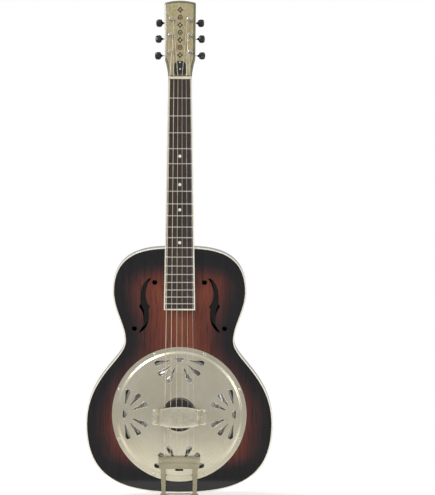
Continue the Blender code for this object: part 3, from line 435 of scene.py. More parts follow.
class Finish:
    """A Principled material with the few node patterns that the finishes share."""

    def __init__(self, name, colour=None, roughness=0.4, metallic=0.0, coat=0.0, coat_roughness=0.05):
        self.material = bpy.data.materials.new(name)
        self.material.use_nodes = True
        self.tree = self.material.node_tree
        self.shader = self.tree.nodes["Principled BSDF"]
        if colour:
            self.shader.inputs["Base Color"].default_value = colour
        self.shader.inputs["Roughness"].default_value = roughness
        self.shader.inputs["Metallic"].default_value = metallic
        if coat == 1.0:
            self.shader.inputs["Specular IOR Level"].default_value = 0.0
        self.shader.inputs["Coat Weight"].default_value = coat
        self.shader.inputs["Coat Roughness"].default_value = coat_roughness
        self.bumps = None

    def node(self, kind, **settings):
        made = self.tree.nodes.new(kind)
        for key, value in settings.items():
            setattr(made, key, value)
        return made

    def link(self, source, target):
        self.tree.links.new(source, target)

    def noise(self, stretch, scale=1.0, detail=3.0, distortion=0.0, place=(0, 0, 0), source="Object"):
        """Noise on object coordinates stretched by a factor along each axis."""
        where = self.node("ShaderNodeTexCoord")
        mapping = self.node("ShaderNodeMapping")
        mapping.inputs["Scale"].default_value = stretch
        mapping.inputs["Location"].default_value = place
        made = self.node("ShaderNodeTexNoise")
        made.inputs["Scale"].default_value = scale
        made.inputs["Detail"].default_value = detail
        made.inputs["Distortion"].default_value = distortion
        self.link(where.outputs[source], mapping.inputs["Vector"])
        self.link(mapping.outputs["Vector"], made.inputs["Vector"])
        return made.outputs["Fac"]

    def ramp(self, source, stops):
        """A colour ramp of (place, colour) stops."""
        made = self.node("ShaderNodeValToRGB")
        band = made.color_ramp
        while len(band.elements) < len(stops):
            band.elements.new(0.5)
        for element, (place, colour) in zip(band.elements, stops):
            element.position = place
            element.color = colour
        self.link(source, made.inputs["Fac"])
        return made.outputs["Color"]

    def mix(self, kind, factor, first, second):
        """Two colours mixed; factor is a number or a socket."""
        made = self.node("ShaderNodeMix", data_type="RGBA", blend_type=kind)
        if isinstance(factor, float):
            made.inputs[0].default_value = factor
        else:
            self.link(factor, made.inputs[0])
        for socket, value in ((made.inputs[6], first), (made.inputs[7], second)):
            if isinstance(value, tuple):
                socket.default_value = value
            else:
                self.link(value, socket)
        return made.outputs[2]

    def spread(self, source, low, high, start=0.3, end=0.7):
        """A pattern's value spread between two numbers."""
        made = self.node("ShaderNodeMapRange")
        for key, value in (("From Min", start), ("From Max", end), ("To Min", low), ("To Max", high)):
            made.inputs[key].default_value = value
        self.link(source, made.inputs["Value"])
        return made.outputs["Result"]

    def bump(self, source, strength, distance):
        """Relief from a pattern; later ones add to earlier ones."""
        made = self.node("ShaderNodeBump")
        made.inputs["Strength"].default_value = strength
        made.inputs["Distance"].default_value = distance
        self.link(source, made.inputs["Height"])
        if self.bumps:
            self.link(self.bumps, made.inputs["Normal"])
        self.bumps = made.outputs["Normal"]
        self.link(self.bumps, self.shader.inputs["Normal"])

    def colour(self, socket):
        self.link(socket, self.shader.inputs["Base Color"])

    def roughness(self, socket):
        self.link(socket, self.shader.inputs["Roughness"])


def grain_of(finish, strength=0.5, fine=(900, 900, 26), broad=(95, 95, 3.0)):
    """Straight grain up the guitar as a grey colour to multiply by, with its pores as relief."""
    lines = finish.ramp(finish.noise(broad, 1.0, 5.0, 0.6), [(0.30, (1 - strength,) * 3 + (1,)),
                                                             (0.70, (1.0, 1.0, 1.0, 1.0))])
    pores = finish.noise(fine, 1.0, 2.0)
    specks = finish.ramp(pores, [(0.36, (0.45, 0.42, 0.40, 1)), (0.46, (1, 1, 1, 1))])
    return finish.mix("MULTIPLY", 1.0, lines, specks), pores


def sunburst(name, stops, strength=0.35):
    """Lacquered mahogany whose colour runs with the distance from the body's edge."""
    finish = Finish(name, roughness=0.42, coat=1.0, coat_roughness=0.045)
    edge = finish.node("ShaderNodeAttribute", attribute_name="burst")
    haze = finish.noise((14, 14, 9), 1.0, 4.0, 0.4)
    wobble = finish.node("ShaderNodeMath", operation="MULTIPLY_ADD")
    finish.link(finish.spread(haze, -0.05, 0.05), wobble.inputs[0])
    wobble.inputs[1].default_value = 1.0
    finish.link(edge.outputs["Fac"], wobble.inputs[2])
    burst = finish.ramp(wobble.outputs[0], stops)
    grain, pores = grain_of(finish, strength)
    finish.colour(finish.mix("MULTIPLY", 1.0, burst, grain))
    finish.bump(pores, 0.05, 0.0002)
    finish.bump(finish.noise((30, 30, 30), 1.0, 2.0), 0.02, 0.0006)
    return finish.material


def dark_lacquer(name, first, second):
    """Near-black lacquer over wood, faint grain showing through."""
    finish = Finish(name, roughness=0.35, coat=1.0, coat_roughness=0.05)
    grain, pores = grain_of(finish, 0.5)
    base = finish.ramp(finish.noise((18, 18, 6), 1.0, 3.0), [(0.3, first), (0.75, second)])
    finish.colour(finish.mix("MULTIPLY", 1.0, base, grain))
    finish.bump(pores, 0.04, 0.0002)
    return finish.material


def raw_wood(name, dark, light, stretch=(120, 120, 8), roughness=0.65, coat=0.0):
    """Unlacquered or oiled wood with open grain."""
    finish = Finish(name, roughness=roughness, coat=coat, coat_roughness=0.25)
    grain = finish.ramp(finish.noise(stretch, 1.0, 6.0, 1.2), [(0.25, dark), (0.75, light)])
    pores = finish.noise(tuple(8 * s for s in stretch), 1.0, 2.0)
    specks = finish.ramp(pores, [(0.34, (0.55, 0.52, 0.5, 1)), (0.46, (1, 1, 1, 1))])
    finish.colour(finish.mix("MULTIPLY", 1.0, grain, specks))
    finish.roughness(finish.spread(pores, roughness + 0.12, roughness - 0.08))
    finish.bump(pores, 0.25, 0.0003)
    return finish.material


def plastic(name, first, second, roughness, scale=60.0, coat=0.0):
    """Moulded or celluloid plastic with slight clouding and fine handling marks."""
    finish = Finish(name, roughness=roughness, coat=coat, coat_roughness=0.08)
    cloud = finish.noise((scale,) * 3, 1.0, 4.0, 0.8)
    finish.colour(finish.ramp(cloud, [(0.3, first), (0.7, second)]))
    finish.roughness(finish.spread(finish.noise((420,) * 3, 1.0, 3.0), roughness - 0.06,
                                   roughness + 0.08))
    finish.bump(finish.noise((260,) * 3, 1.0, 2.0), 0.04, 0.0002)
    return finish.material


def metal(name, first, second, roughness, scratches=(40, 40, 900), cloud=22.0, relief=0.03):
    """Plated or bare metal: tone and polish drift, with fine scratches in one direction."""
    finish = Finish(name, roughness=roughness, metallic=1.0)
    drift = finish.noise((cloud,) * 3, 1.0, 4.0, 0.5)
    finish.colour(finish.ramp(drift, [(0.28, first), (0.72, second)]))
    lines = finish.noise(scratches, 1.0, 4.0)
    finish.roughness(finish.spread(lines, roughness - 0.07, roughness + 0.09))
    finish.bump(lines, relief, 0.0002)
    return finish.material


def spun_metal(name, first, second, roughness, pitch, relief=0.12):
    """Metal turned on a lathe: fine rings about the cone's axis, cloudy plating over them."""
    finish = Finish(name, roughness=roughness, metallic=1.0)
    where = finish.node("ShaderNodeTexCoord")
    flatten = finish.node("ShaderNodeMapping")
    flatten.inputs["Scale"].default_value = (1.0, 0.0, 1.0)
    finish.link(where.outputs["Object"], flatten.inputs["Vector"])
    radius = finish.node("ShaderNodeVectorMath", operation="LENGTH")
    finish.link(flatten.outputs["Vector"], radius.inputs[0])
    rings = finish.node("ShaderNodeTexNoise", noise_dimensions="1D")
    rings.inputs["Scale"].default_value = pitch
    rings.inputs["Detail"].default_value = 4.0
    finish.link(radius.outputs["Value"], rings.inputs["W"])
    drift = finish.noise((16, 16, 16), 1.0, 4.0, 0.6)
    finish.colour(finish.ramp(drift, [(0.28, first), (0.72, second)]))
    finish.roughness(finish.spread(rings.outputs["Fac"], roughness - 0.05, roughness + 0.08))
    finish.bump(rings.outputs["Fac"], relief, 0.0002)
    finish.bump(finish.noise((520, 520, 520), 1.0, 3.0), 0.03, 0.0002)
    return finish.material


def pearloid():
    """Pearl plastic: khaki and cream clouds torn into flakes, with tan and green streaks."""
    finish = Finish("pearl_face", roughness=0.22, coat=1.0, coat_roughness=0.04)
    torn = finish.noise((150, 150, 70), 1.0, 5.0, 3.2)
    flakes = finish.ramp(torn, [(0.22, srgb(146, 134, 96)), (0.42, srgb(170, 158, 122)),
                                (0.58, srgb(186, 175, 140)), (0.80, srgb(198, 188, 154))])
    streaks = finish.ramp(finish.noise((60, 60, 14), 1.0, 3.0, 1.5, (3, 1, 2)),
                          [(0.32, srgb(199, 160, 122)), (0.50, srgb(255, 255, 255)),
                           (0.70, srgb(214, 224, 184))])
    finish.colour(finish.mix("MULTIPLY", 0.55, flakes, streaks))
    finish.bump(torn, 0.03, 0.0003)
    return finish.material


def winding(name, first, second, pitch):
    """Wrapped string: ridges along its own length, from the piece's length coordinate."""
    finish = Finish(name, roughness=0.42, metallic=0.85)
    along = finish.node("ShaderNodeAttribute", attribute_name="length")
    turn = finish.node("ShaderNodeMath", operation="MULTIPLY")
    turn.inputs[1].default_value = TAU / pitch
    finish.link(along.outputs["Fac"], turn.inputs[0])
    wave = finish.node("ShaderNodeMath", operation="SINE")
    finish.link(turn.outputs[0], wave.inputs[0])
    tone = finish.noise((300, 300, 30), 1.0, 3.0)
    finish.colour(finish.ramp(tone, [(0.3, first), (0.7, second)]))
    finish.bump(wave.outputs[0], 0.5, pitch / 4)
    return finish.material


BURST_STOPS = [(0.0, srgb(26, 24, 27)), (0.16, srgb(30, 26, 29)), (0.30, srgb(62, 36, 36)),
               (0.46, srgb(98, 48, 40)), (0.72, srgb(124, 62, 44)), (1.0, srgb(144, 80, 54))]
BACK_STOPS = [(0.0, srgb(24, 20, 20)), (0.18, srgb(34, 24, 22)), (0.42, srgb(74, 38, 30)),
              (0.75, srgb(106, 56, 40)), (1.0, srgb(122, 68, 48))]
SIDE_STOPS = [(0.0, srgb(18, 16, 17)), (0.45, srgb(30, 20, 19)), (1.0, srgb(52, 29, 25))]
LOOKS = {
    "top": sunburst("sunburst_top", BURST_STOPS),
    "back": sunburst("sunburst_back", BACK_STOPS, 0.45),
    "sides": sunburst("sunburst_sides", SIDE_STOPS, 0.4),
    "neck": dark_lacquer("neck_lacquer", srgb(24, 17, 16), srgb(48, 27, 22)),
    "black_lacquer": dark_lacquer("black_lacquer", srgb(17, 16, 17), srgb(26, 22, 22)),
    "cream": plastic("cream_binding", srgb(236, 229, 208), srgb(246, 241, 226), 0.26, 40.0, 0.6),
    "black_line": plastic("black_line", srgb(9, 9, 10), srgb(17, 16, 17), 0.3, 80.0),
    "inner": raw_wood("inner_wood", srgb(112, 78, 48), srgb(160, 120, 80)),
    "board": raw_wood("board_wood", srgb(33, 22, 16), srgb(66, 47, 35), (190, 190, 7), 0.48, 0.25),
    "pearl": pearloid(),
    "pearl_edge": plastic("pearl_edge", srgb(104, 99, 72), srgb(128, 124, 95), 0.25, 90.0, 0.8),
    "bone": plastic("bone", srgb(228, 218, 190), srgb(244, 238, 218), 0.32, 120.0, 0.3),
    "dot": plastic("dot_pearl", srgb(238, 234, 220), srgb(252, 250, 242), 0.2, 300.0, 0.6),
    "black": plastic("black_plastic", srgb(10, 10, 11), srgb(22, 22, 24), 0.2, 120.0, 0.6),
    "maple": raw_wood("maple", srgb(150, 108, 66), srgb(190, 150, 104), (90, 90, 16), 0.5),
    # biscuit maple coloured near black
    "near_black": raw_wood("stained_maple", srgb(16, 13, 12), srgb(34, 28, 24), (90, 90, 16), 0.5),
    "cone": spun_metal("cone_aluminium", srgb(205, 205, 204), srgb(232, 232, 230), 0.30, 900.0, 0.3),
    "plate": spun_metal("nickel_cover", srgb(216, 208, 184), srgb(230, 224, 203), 0.27, 2200.0, 0.05),
    # hand rest nickel: the cover plate's nickel lightened, painted light
    "rest": metal("nickel_rest_painted_light", srgb(224, 217, 192), srgb(238, 232, 210), 0.28, (80, 80, 80), 22.0, 0.008),
    # tailpiece nickel: the cover plate's nickel darkened, painted shade
    "tail": metal("nickel_tail_painted_shade", srgb(160, 153, 128), srgb(180, 173, 148), 0.24, (40, 900, 900)),
    "nickel": metal("nickel_parts", srgb(205, 201, 190), srgb(226, 223, 214), 0.18, (500, 500, 500)),
    "steel": metal("steel", srgb(176, 176, 176), srgb(206, 206, 205), 0.26, (700, 700, 90)),
    "fret": metal("fret_wire", srgb(206, 204, 198), srgb(228, 226, 220), 0.2, (30, 900, 900)),
    "brass": metal("gear_brass", srgb(176, 146, 84), srgb(202, 174, 112), 0.3, (600, 600, 600)),
    "plain": metal("plain_string", srgb(238, 236, 230), srgb(250, 248, 244), 0.34, (900, 900, 60)),
    "wound": winding("wound_string", srgb(226, 212, 188), srgb(246, 238, 220), 0.0003),
}


# ---------------------------------------------------------------- body
def burst_values(points, low_edge=0.018):
    """Distance from the outline over 100 mm, shortened near the shoulders and the tail."""
    flat = points[:, [0, 2]]
    away = distance_to(flat, body_outline(0.0, 60))
    away -= low_edge * smooth_step((flat[:, 1] - 0.235) / 0.07)
    away -= 0.030 * smooth_step((-0.075 - flat[:, 1]) / 0.06)
    return np.clip(away / 0.105, 0.0, 1.0)


def f_hole(side):
    """The long slot of an f-hole: smooth edges between the two tips, a notch on each."""
    runs = (
        ((-0.0530, 0.2572), (-0.0580, 0.2562), (-0.0625, 0.2530), (-0.0688, 0.2450),
         (-0.0727, 0.2340), (-0.0738, 0.2200), (-0.0738, 0.2100), (-0.0760, 0.2035)),
        ((-0.0760, 0.2035), (-0.0717, 0.1960), (-0.0687, 0.1880), (-0.0680, 0.1765),
         (-0.0696, 0.1660), (-0.0778, 0.1530)),
        ((-0.0778, 0.1530), (-0.0680, 0.1590), (-0.0613, 0.1685), (-0.0584, 0.1790),
         (-0.0576, 0.1900), (-0.0580, 0.1975), (-0.0559, 0.2035)),
        ((-0.0559, 0.2035), (-0.0606, 0.2105), (-0.0632, 0.2200), (-0.0638, 0.2300),
         (-0.0620, 0.2400), (-0.0594, 0.2480), (-0.0530, 0.2572)),
    )
    loop = np.concatenate([smooth_run(run, 5) for run in runs])
    return loop * np.array([-side, 1.0])


F_EYES = ((0.0469, 0.2492, 0.0048), (0.0850, 0.1619, 0.0046))


def make_body():
    """Soundboard, back, sides, purfling and both bindings."""
    holes = [circle(SOUND_HOLE, 120)]
    for side in (-1, 1):
        holes.append(f_hole(side))
        holes += [circle(radius, 28, (side * x, z)) for x, z, radius in F_EYES]
    depth = -FRONT_Y
    top = pierced_sheet("soundboard", body_outline(SEAT), holes, 0.0055, level(depth),
                        level(depth - TOP_THICKNESS), FRONT, LOOKS["top"], replaces="top_plate",
                        slot="sunburst_top")
    attribute(top, "burst", burst_values(points_of(top)))
    back = pierced_sheet("back", body_outline(SEAT), [], 0.008, level(0.0030),
                         level(BACK_BEHIND_BINDING), FRONT, LOOKS["back"],
                         replaces="back_plate", slot="sunburst_back")
    attribute(back, "burst", burst_values(points_of(back)))

    outer, inner = body_outline(), body_outline(0.0025)
    levels = np.linspace(BINDING_HEIGHT + GAP, depth - BINDING_HEIGHT - GAP, 17)
    loops = [(outer, h) for h in levels] + [(inner, levels[-1]), (inner, levels[0])]
    grid = np.stack([np.column_stack([loop[:, 0], np.full(len(loop), -h), loop[:, 1]])
                     for loop, h in loops])
    sides = sheet_from_grid("sides", grid, LOOKS["sides"], caps=False, wrap_rows=True,
                            replaces="rim", slot="dark_lacquer")
    height = -points_of(sides)[:, 1]
    attribute(sides, "burst", smooth_step(1 - np.abs(height / depth - 0.5) * 2.6))

    for name, low, high, node in (("front_binding", depth - BINDING_HEIGHT, depth, "top_binding"),
                                  ("rear_binding", 0.0, BINDING_HEIGHT, "back_binding")):
        make_binding(name, low, high, node)
    line_outer = body_outline(BINDING_WIDTH - 0.00005)
    line_inner = body_outline(BINDING_WIDTH + PURFLING_WIDTH)
    for name, face in (("front_purfling", depth + 0.00004), ("rear_purfling", 0.0)):
        pair = (face, face - 0.0002) if face > 0 else (face, face + 0.0002)
        grid = np.stack([np.column_stack([loop[:, 0], np.full(len(loop), -h), loop[:, 1]])
                         for loop, h in ((line_outer, pair[0]), (line_inner, pair[0]),
                                         (line_inner, pair[1]), (line_outer, pair[1]))])
        sheet_from_grid(name, grid, LOOKS["black_line"], caps=False, wrap_rows=True,
                        slot="black_plastic")


def make_binding(name, low, high, node):
    """Cream binding: a rectangle with its outer corners rounded, carried round the outline."""
    at_front = high > 0.05
    bead = 0.0009
    corner = np.linspace(0, math.pi / 2, 5)
    rounded = np.column_stack([bead * (1 - np.cos(corner)), high - bead * (1 - np.sin(corner))])
    if at_front:
        profile = np.concatenate([[[BINDING_WIDTH, high]], rounded[::-1], [[0.0, low]],
                                  [[BINDING_WIDTH, low]]])
    else:
        rounded[:, 1] = low + bead * (1 - np.sin(corner))
        profile = np.concatenate([[[BINDING_WIDTH, high]], [[0.0, high]], rounded,
                                  [[BINDING_WIDTH, low]]])
    grid = []
    for inset, height in profile:
        loop = body_outline(inset)
        grid.append(np.column_stack([loop[:, 0], np.full(len(loop), -height), loop[:, 1]]))
    sheet_from_grid(name, np.stack(grid), LOOKS["cream"], caps=False, wrap_rows=True,
                    replaces=node, slot="cream_binding", sharp=50.0)


# ---------------------------------------------------------------- resonator
def plate_height(radius):
    """Outer face of the cover plate in front of the top: flange, rolled step, gentle dome."""
    flange = GAP + PLATE_SHEET
    dome = PLATE_STEP + PLATE_DOME * (1 - (radius / PLATE_STEP_RADIUS) ** 2)
    step = smooth_step((PLATE_STEP_RADIUS + 0.0032 - radius) / 0.0040)
    lip = 0.0006 * np.exp(-((radius - PLATE_OPENING - 0.0012) / 0.0012) ** 2)
    return flange + dome * step + lip


def petal(hub_angle, turn, start, end):
    """A petal with nearly straight sides, wide near its end, then a blunt tip with eased corners."""
    half = np.array([(0.0, 0.0), (0.0, 0.0009), (0.25, 0.0020), (0.50, 0.0033), (0.70, 0.0046),
                     (0.82, 0.0052), (0.90, 0.0046), (0.96, 0.0033), (1.0, 0.0012), (1.0, 0.0)])
    run = smooth_run(half[1:-1], 3)
    right = np.column_stack([start + run[:, 0] * (end - start), run[:, 1]])
    loop = np.concatenate([right, (right * [1, -1])[::-1]])
    heading = hub_angle + math.pi + turn
    hub = HUB_RADIUS * np.array([math.cos(hub_angle), math.sin(hub_angle)])
    ahead = np.array([math.cos(heading), math.sin(heading)])
    across = np.array([-ahead[1], ahead[0]])
    return hub + loop[:, :1] * ahead + loop[:, 1:] * across


def hub_disc(hub_angle):
    """The half disc at a hub, flat towards the rim."""
    heading = hub_angle + math.pi
    hub = (HUB_RADIUS + 0.001) * np.array([math.cos(hub_angle), math.sin(hub_angle)])
    angle = heading + np.linspace(-math.pi / 2, math.pi / 2, 25)
    return hub + HUB_DISC * np.column_stack([np.cos(angle), np.sin(angle)])


def screw(name, place, radius, look, height=0.0012, body=BODY, slot="nickel_parts", turn=0.4):
    """A domed screw head with a crossed recess: its height falls inside the cross."""
    rings, steps = 15, 36
    share = np.linspace(0, 1, rings)[:, None]
    angle = np.arange(steps)[None, :] * TAU / steps
    x, y = share * radius * np.cos(angle), share * radius * np.sin(angle)
    dome = height * np.sqrt(np.clip(1 - (share * 0.93) ** 2, 0, 1)) + 0 * angle
    u = x * math.cos(turn) + y * math.sin(turn)
    v = -x * math.sin(turn) + y * math.cos(turn)
    arm = 0.13 * radius
    near = np.minimum(np.abs(u), np.abs(v))
    far = np.maximum(np.abs(u), np.abs(v))
    recess = smooth_step((arm * 1.5 - near) / (arm * 0.7))
    recess = recess * smooth_step((0.62 * radius - far) / (0.1 * radius))
    top = np.stack([x, y, dome - 0.6 * height * recess], -1)
    skirt = top[-1:] * [1, 1, 0] + [0, 0, -0.0002]
    grid = np.concatenate([top, skirt])
    faces = grid_faces(rings + 1, steps, False, True) + [list(range(rings * steps, (rings + 1) * steps))]
    return piece(name, placed(grid.reshape(-1, 3), place), faces, look, body=body, slot=slot, sharp=60)


def make_coverplate():
    """The pierced dome, a rolled lip round each hole, and its eight screws."""
    holes = [circle(PLATE_OPENING, 96)]
    lips = []
    for quarter in range(4):
        hub_angle = math.pi / 2 * quarter
        group = [hub_disc(hub_angle)]
        group += [petal(hub_angle, side * math.radians(angle), start, end)
                  for angle, start, end in PETALS for side in (-1, 1)]
        holes += group
        lips.append(group)
    depth = -FRONT_Y
    rings = np.concatenate([np.arange(PLATE_OPENING, 0.112, 0.0040),
                            np.array([0.1130, 0.1142, 0.1152, 0.1160, 0.1168, 0.1176, 0.1184, 0.1192,
                                      0.1200, 0.1230])])
    net = []
    for radius in rings:
        count = int(min(260, max(60, radius * TAU / 0.0034)))
        net.append(circle(radius, count))
    outer = circle(PLATE_RADIUS, 240)

    def front(x, y):
        radius = np.hypot(x, y)
        worn = 0.0004 * smooth_step((radius - PLATE_RADIUS + 0.0009) / 0.0009)
        return depth + plate_height(radius) - worn

    pierced_sheet("cover_plate", outer, holes, 0.0028, front,
                  lambda x, y: depth + plate_height(np.hypot(x, y)) - PLATE_SHEET, FRONT,
                  LOOKS["plate"], np.concatenate(net), replaces="coverplate", slot="nickel_cover",
                  sharp=50.0)
    for quarter, group in enumerate(lips):
        parts = []
        for loop in group:
            radius = np.hypot(loop[:, 0], loop[:, 1])
            path = np.column_stack([loop[:, 0], -(depth + plate_height(radius) - 0.0002), loop[:, 1]])
            parts.append(ring_tube(path, 0.00042, 8))
        verts, faces = joined(parts)
        piece("cover_lips_" + str(quarter + 1), verts, faces, LOOKS["plate"], slot="nickel_cover",
              sharp=80)
    for k in range(8):
        angle = TAU * (k + 0.5) / 8
        place = FRONT @ Matrix.Translation((PLATE_SCREW_RADIUS * math.cos(angle),
                                            PLATE_SCREW_RADIUS * math.sin(angle),
                                            depth + GAP + PLATE_SHEET))
        screw("cover_screw_" + str(k + 1), place, 0.0026, LOOKS["nickel"], 0.0013, turn=0.5 + k)


def make_cone():
    """Spun cone with raised rings, wooden biscuit and maple saddle."""
    biscuit_back = SADDLE_HEIGHT - 0.0130 - BISCUIT_THICKNESS
    peak, seat = biscuit_back - GAP, CONE_LEDGE + GAP
    radius = np.linspace(0.0310, 0.1060, 60)
    slope = peak - 0.0015 + (seat + 0.0020 - peak + 0.0015) * (radius - 0.0310) / 0.0750
    slope = slope + 0.0005 * np.cos((radius - 0.0310) * TAU / 0.0125)
    outer = [(0.0, peak), (0.0280, peak)] + list(zip(radius, slope))
    outer += [(0.1100, seat + 0.0006), (CONE_RADIUS, seat + 0.0006)]
    inner = [(r, h - 0.0006) for r, h in reversed(outer)]
    turned("spun_cone", outer + inner, FRONT, LOOKS["cone"], 120, replaces="resonator_cone",
           slot="cone_aluminium")
    top = biscuit_back + BISCUIT_THICKNESS
    turned("biscuit_disc", [(0.0, top), (BISCUIT_RADIUS - 0.0012, top),
                            (BISCUIT_RADIUS - 0.0003, top - 0.0004), (BISCUIT_RADIUS, top - 0.0012),
                            (BISCUIT_RADIUS, biscuit_back), (0.0, biscuit_back)], FRONT,
           LOOKS["near_black"], 96, replaces="biscuit", slot="stained_maple", sharp=50)
    place = Matrix.Translation((0, 0, SADDLE_Z))
    bar = notched(0.0286, SADDLE_HEIGHT + 0.0004, top + GAP, STRING_SPREAD_SADDLE, 0.0012)
    saddle = pierced_sheet("saddle_strip", bar, [], 0.004, level(0.0017), level(-0.0017), place,
                           LOOKS["maple"], replaces="saddle", slot="maple")
    bevelled(saddle, 0.00025, 1)


def string_x(index, spread):
    """Where a string crosses a row: the thinnest is index 0, on the right."""
    return spread * (1 - 2 * index / 5)


def notched(half, top, bottom, spread, depth):
    """A bar seen along the strings, world X and Y, with a round-bottomed notch for each string."""
    runs = [np.array([[half, -bottom], [half, -top]])]
    for index in range(6):
        x = string_x(index, spread)
        width = STRING_DIAMETERS[index] / 2 + 0.0003
        angle = np.linspace(0, math.pi, 7)
        notch = np.column_stack([x + width * np.cos(angle), -(top - depth) + width * np.sin(angle)])
        runs.append(np.concatenate([[[x + width, -top]], notch, [[x - width, -top]]]))
    runs.append(np.array([[-half, -top], [-half, -bottom]]))
    return np.concatenate(runs)


def make_hand_rest():
    """Barrel-shaped strap: a bent path across, its height along the guitar bulging in the middle."""
    depth = -FRONT_Y
    top = -REST_LOW[1]
    foot = depth + plate_height(np.array([0.0330]))[0] + GAP
    half = [(0.0, top), (0.012, top - 0.00005), (0.025, top - 0.0003), (0.0325, top - 0.0006),
            (0.0352, top - 0.0011), (0.0370, top - 0.0023), (REST_HALF - 0.0002, top - 0.0042),
            (0.0396, (top + foot) / 2), (0.0410, foot + 0.0026), (0.0418, foot + 0.0009),
            (0.0432, foot + 0.0006), (0.0475, foot + 0.0005), (REST_FOOT[1], foot + 0.0003)]
    run = np.concatenate([smooth_run(half, 4), half[-1:]])
    path = np.concatenate([run[::-1] * [-1, 1], run[1:]])
    ahead = np.gradient(path, axis=0)
    ahead /= np.linalg.norm(ahead, axis=1)[:, None]
    out = np.column_stack([-ahead[:, 1], ahead[:, 0]])
    x = path[:, 0]
    bulge = np.clip(1 - (x / REST_HALF) ** 2, 0, 1)
    reach = 0.0144 + 0.0056 * bulge + 0.0004 * smooth_step((np.abs(x) - 0.0400) / 0.0015)
    ends = smooth_step((REST_FOOT[1] - np.abs(x)) / 0.003)
    reach = reach - 0.0020 * (1 - ends)
    sheet = 0.0006
    across = np.concatenate([np.linspace(-1, 1, 25)])
    crown = 0.0008 * (1 - across ** 2)
    face = np.concatenate([across, across[::-1]])
    lift = np.concatenate([crown + sheet, crown[::-1] - sheet])
    lift[[0, 24, 25, 49]] -= np.array([0.0003, 0.0003, -0.0003, -0.0003])
    grid = np.empty((len(path), len(face), 3))
    rise = smooth_step((REST_HALF - np.abs(x)) / 0.010)
    swell = lift[None, :] - (1 - rise[:, None]) * np.concatenate([crown, crown[::-1]])[None, :]
    grid[..., 0] = path[:, :1] + out[:, :1] * (swell - sheet)
    grid[..., 1] = -(path[:, 1:] + out[:, 1:] * (swell - sheet - 0.0008 * rise[:, None]))
    grid[..., 2] = REST_Z + face[None, :] * reach[:, None]
    sheet_from_grid("hand_rest_strap", grid, LOOKS["rest"], replaces="hand_rest",
                    slot="nickel_cover", sharp=50)
    for k, (side, row) in enumerate(((-1, -1), (1, -1), (-1, 1), (1, 1))):
        place = FRONT @ Matrix.Translation((side * 0.0468, REST_Z + row * 0.0108, foot + 0.0005))
        screw("hand_rest_screw_" + str(k + 1), place, 0.0022, LOOKS["nickel"], 0.0012, turn=0.3 + k)


# ---------------------------------------------------------------- neck
def neck_section(z, around=40):
    """Points round the neck at a height: flat under the board, rounded behind, deep at the heel."""
    half = board_half(z) - 0.0002
    flat = -board_top(z) + BOARD_THICKNESS + GAP
    shaft = 0.0145 + 0.0035 * (NUT_Z - z) / (NUT_Z - BODY_TOP_Z)
    rise = (z - BODY_TOP_Z - GAP) / HEEL_LENGTH
    heel = (1 - smooth_step((rise - 0.16) / 0.84)) ** 1.6 if rise < 1.0 else 0.0
    depth = shaft + (HEEL_CAP_Y - (flat + shaft)) * heel
    angle = np.linspace(0, math.pi, around + 1)
    wide = np.sign(np.cos(angle)) * np.abs(np.cos(angle)) ** (0.85 + 0.55 * heel) * half
    deep = flat + depth * np.sin(angle).clip(0) ** (1 - 0.25 * heel)
    return np.column_stack([wide, deep, np.full(around + 1, z)])


def head_outline(inset=0.0, start=HEAD_FOOT):
    """Headstock outline: a flare above the nut, nearly parallel sides and an arched top."""
    side = smooth_run([(0.0222, HEAD_FOOT), (0.0232, 0.0150), (0.0256, 0.0280), (0.0276, 0.0360),
                       (0.0287, 0.0440), (0.0291, 0.0900),
                       (HEAD_HALF_AT_CORNER, HEAD_CORNER - 0.002)], 6)
    side = side - [inset, 0]
    side[0, 1] = start
    x = np.linspace(0.0290 - inset, 0.0, 12)
    drop = (HEAD_LENGTH - HEAD_CORNER) * (x / HEAD_HALF_AT_CORNER) ** 2
    arch = np.column_stack([x, HEAD_LENGTH - drop - inset])
    corner = [[HEAD_HALF_AT_CORNER - inset, HEAD_CORNER - 0.002 - inset]]
    right = np.concatenate([side, corner, arch])
    return np.concatenate([right, (right[:-1] * [-1, 1])[::-1]])


def make_neck():
    """Shaft and heel, headstock block, its pearl face with a bevelled edge and a dark line."""
    heights = np.concatenate([BODY_TOP_Z + GAP + np.linspace(0, 0.085, 34),
                              np.linspace(BODY_TOP_Z + 0.095, NUT_Z + NUT_LENGTH + 0.001, 40)])
    sheet_from_grid("neck_shaft", np.stack([neck_section(z) for z in heights]), LOOKS["neck"],
                    replaces="neck", slot="neck_lacquer")
    posts = [circle(0.0048, 28, (side * x, v)) for v, x in POST_STATIONS for side in (-1, 1)]
    slot = np.array(ROD_OPENING)
    block = pierced_sheet("headstock_block", head_outline(0.0, 0.0015), posts + [slot], 0.008,
                          level(-0.0013), level(-HEAD_THICKNESS), HEAD, LOOKS["neck"],
                          replaces="neck", slot="neck_lacquer")
    bevelled(block, 0.0012, 3, 50)
    edge, line = HEAD_BORDER, 0.0007
    pierced_sheet("headstock_face", head_outline(edge + line), posts + [slot], 0.004, level(0.0),
                  level(-0.0010), HEAD, LOOKS["pearl"], replaces="headstock_veneer", slot="pearloid")
    make_border("headstock_edge", 0.0, edge, -0.0008, -0.00005, LOOKS["pearl_edge"], "pearloid")
    make_border("headstock_line", edge, edge + line, -0.00002, -0.00002, LOOKS["black_line"],
                "black_plastic")
    make_ornament()
    frame["nodes"]["fretboard_wedge"].data.materials[0] = LOOKS["black_lacquer"]


def make_border(name, first, second, outer_height, inner_height, look, slot):
    """A strip between two insets of the headstock's outline, sloping from one height to another."""
    outer, inner = head_outline(first), head_outline(second)
    grid = np.stack([np.column_stack([outer, np.full(len(outer), -0.0010)]),
                     np.column_stack([outer, np.full(len(outer), outer_height)]),
                     np.column_stack([inner, np.full(len(inner), inner_height)]),
                     np.column_stack([inner, np.full(len(inner), -0.0010)])])
    verts = placed(grid.reshape(-1, 3), HEAD)
    piece(name, verts, grid_faces(4, len(outer), True, True), look, slot=slot)


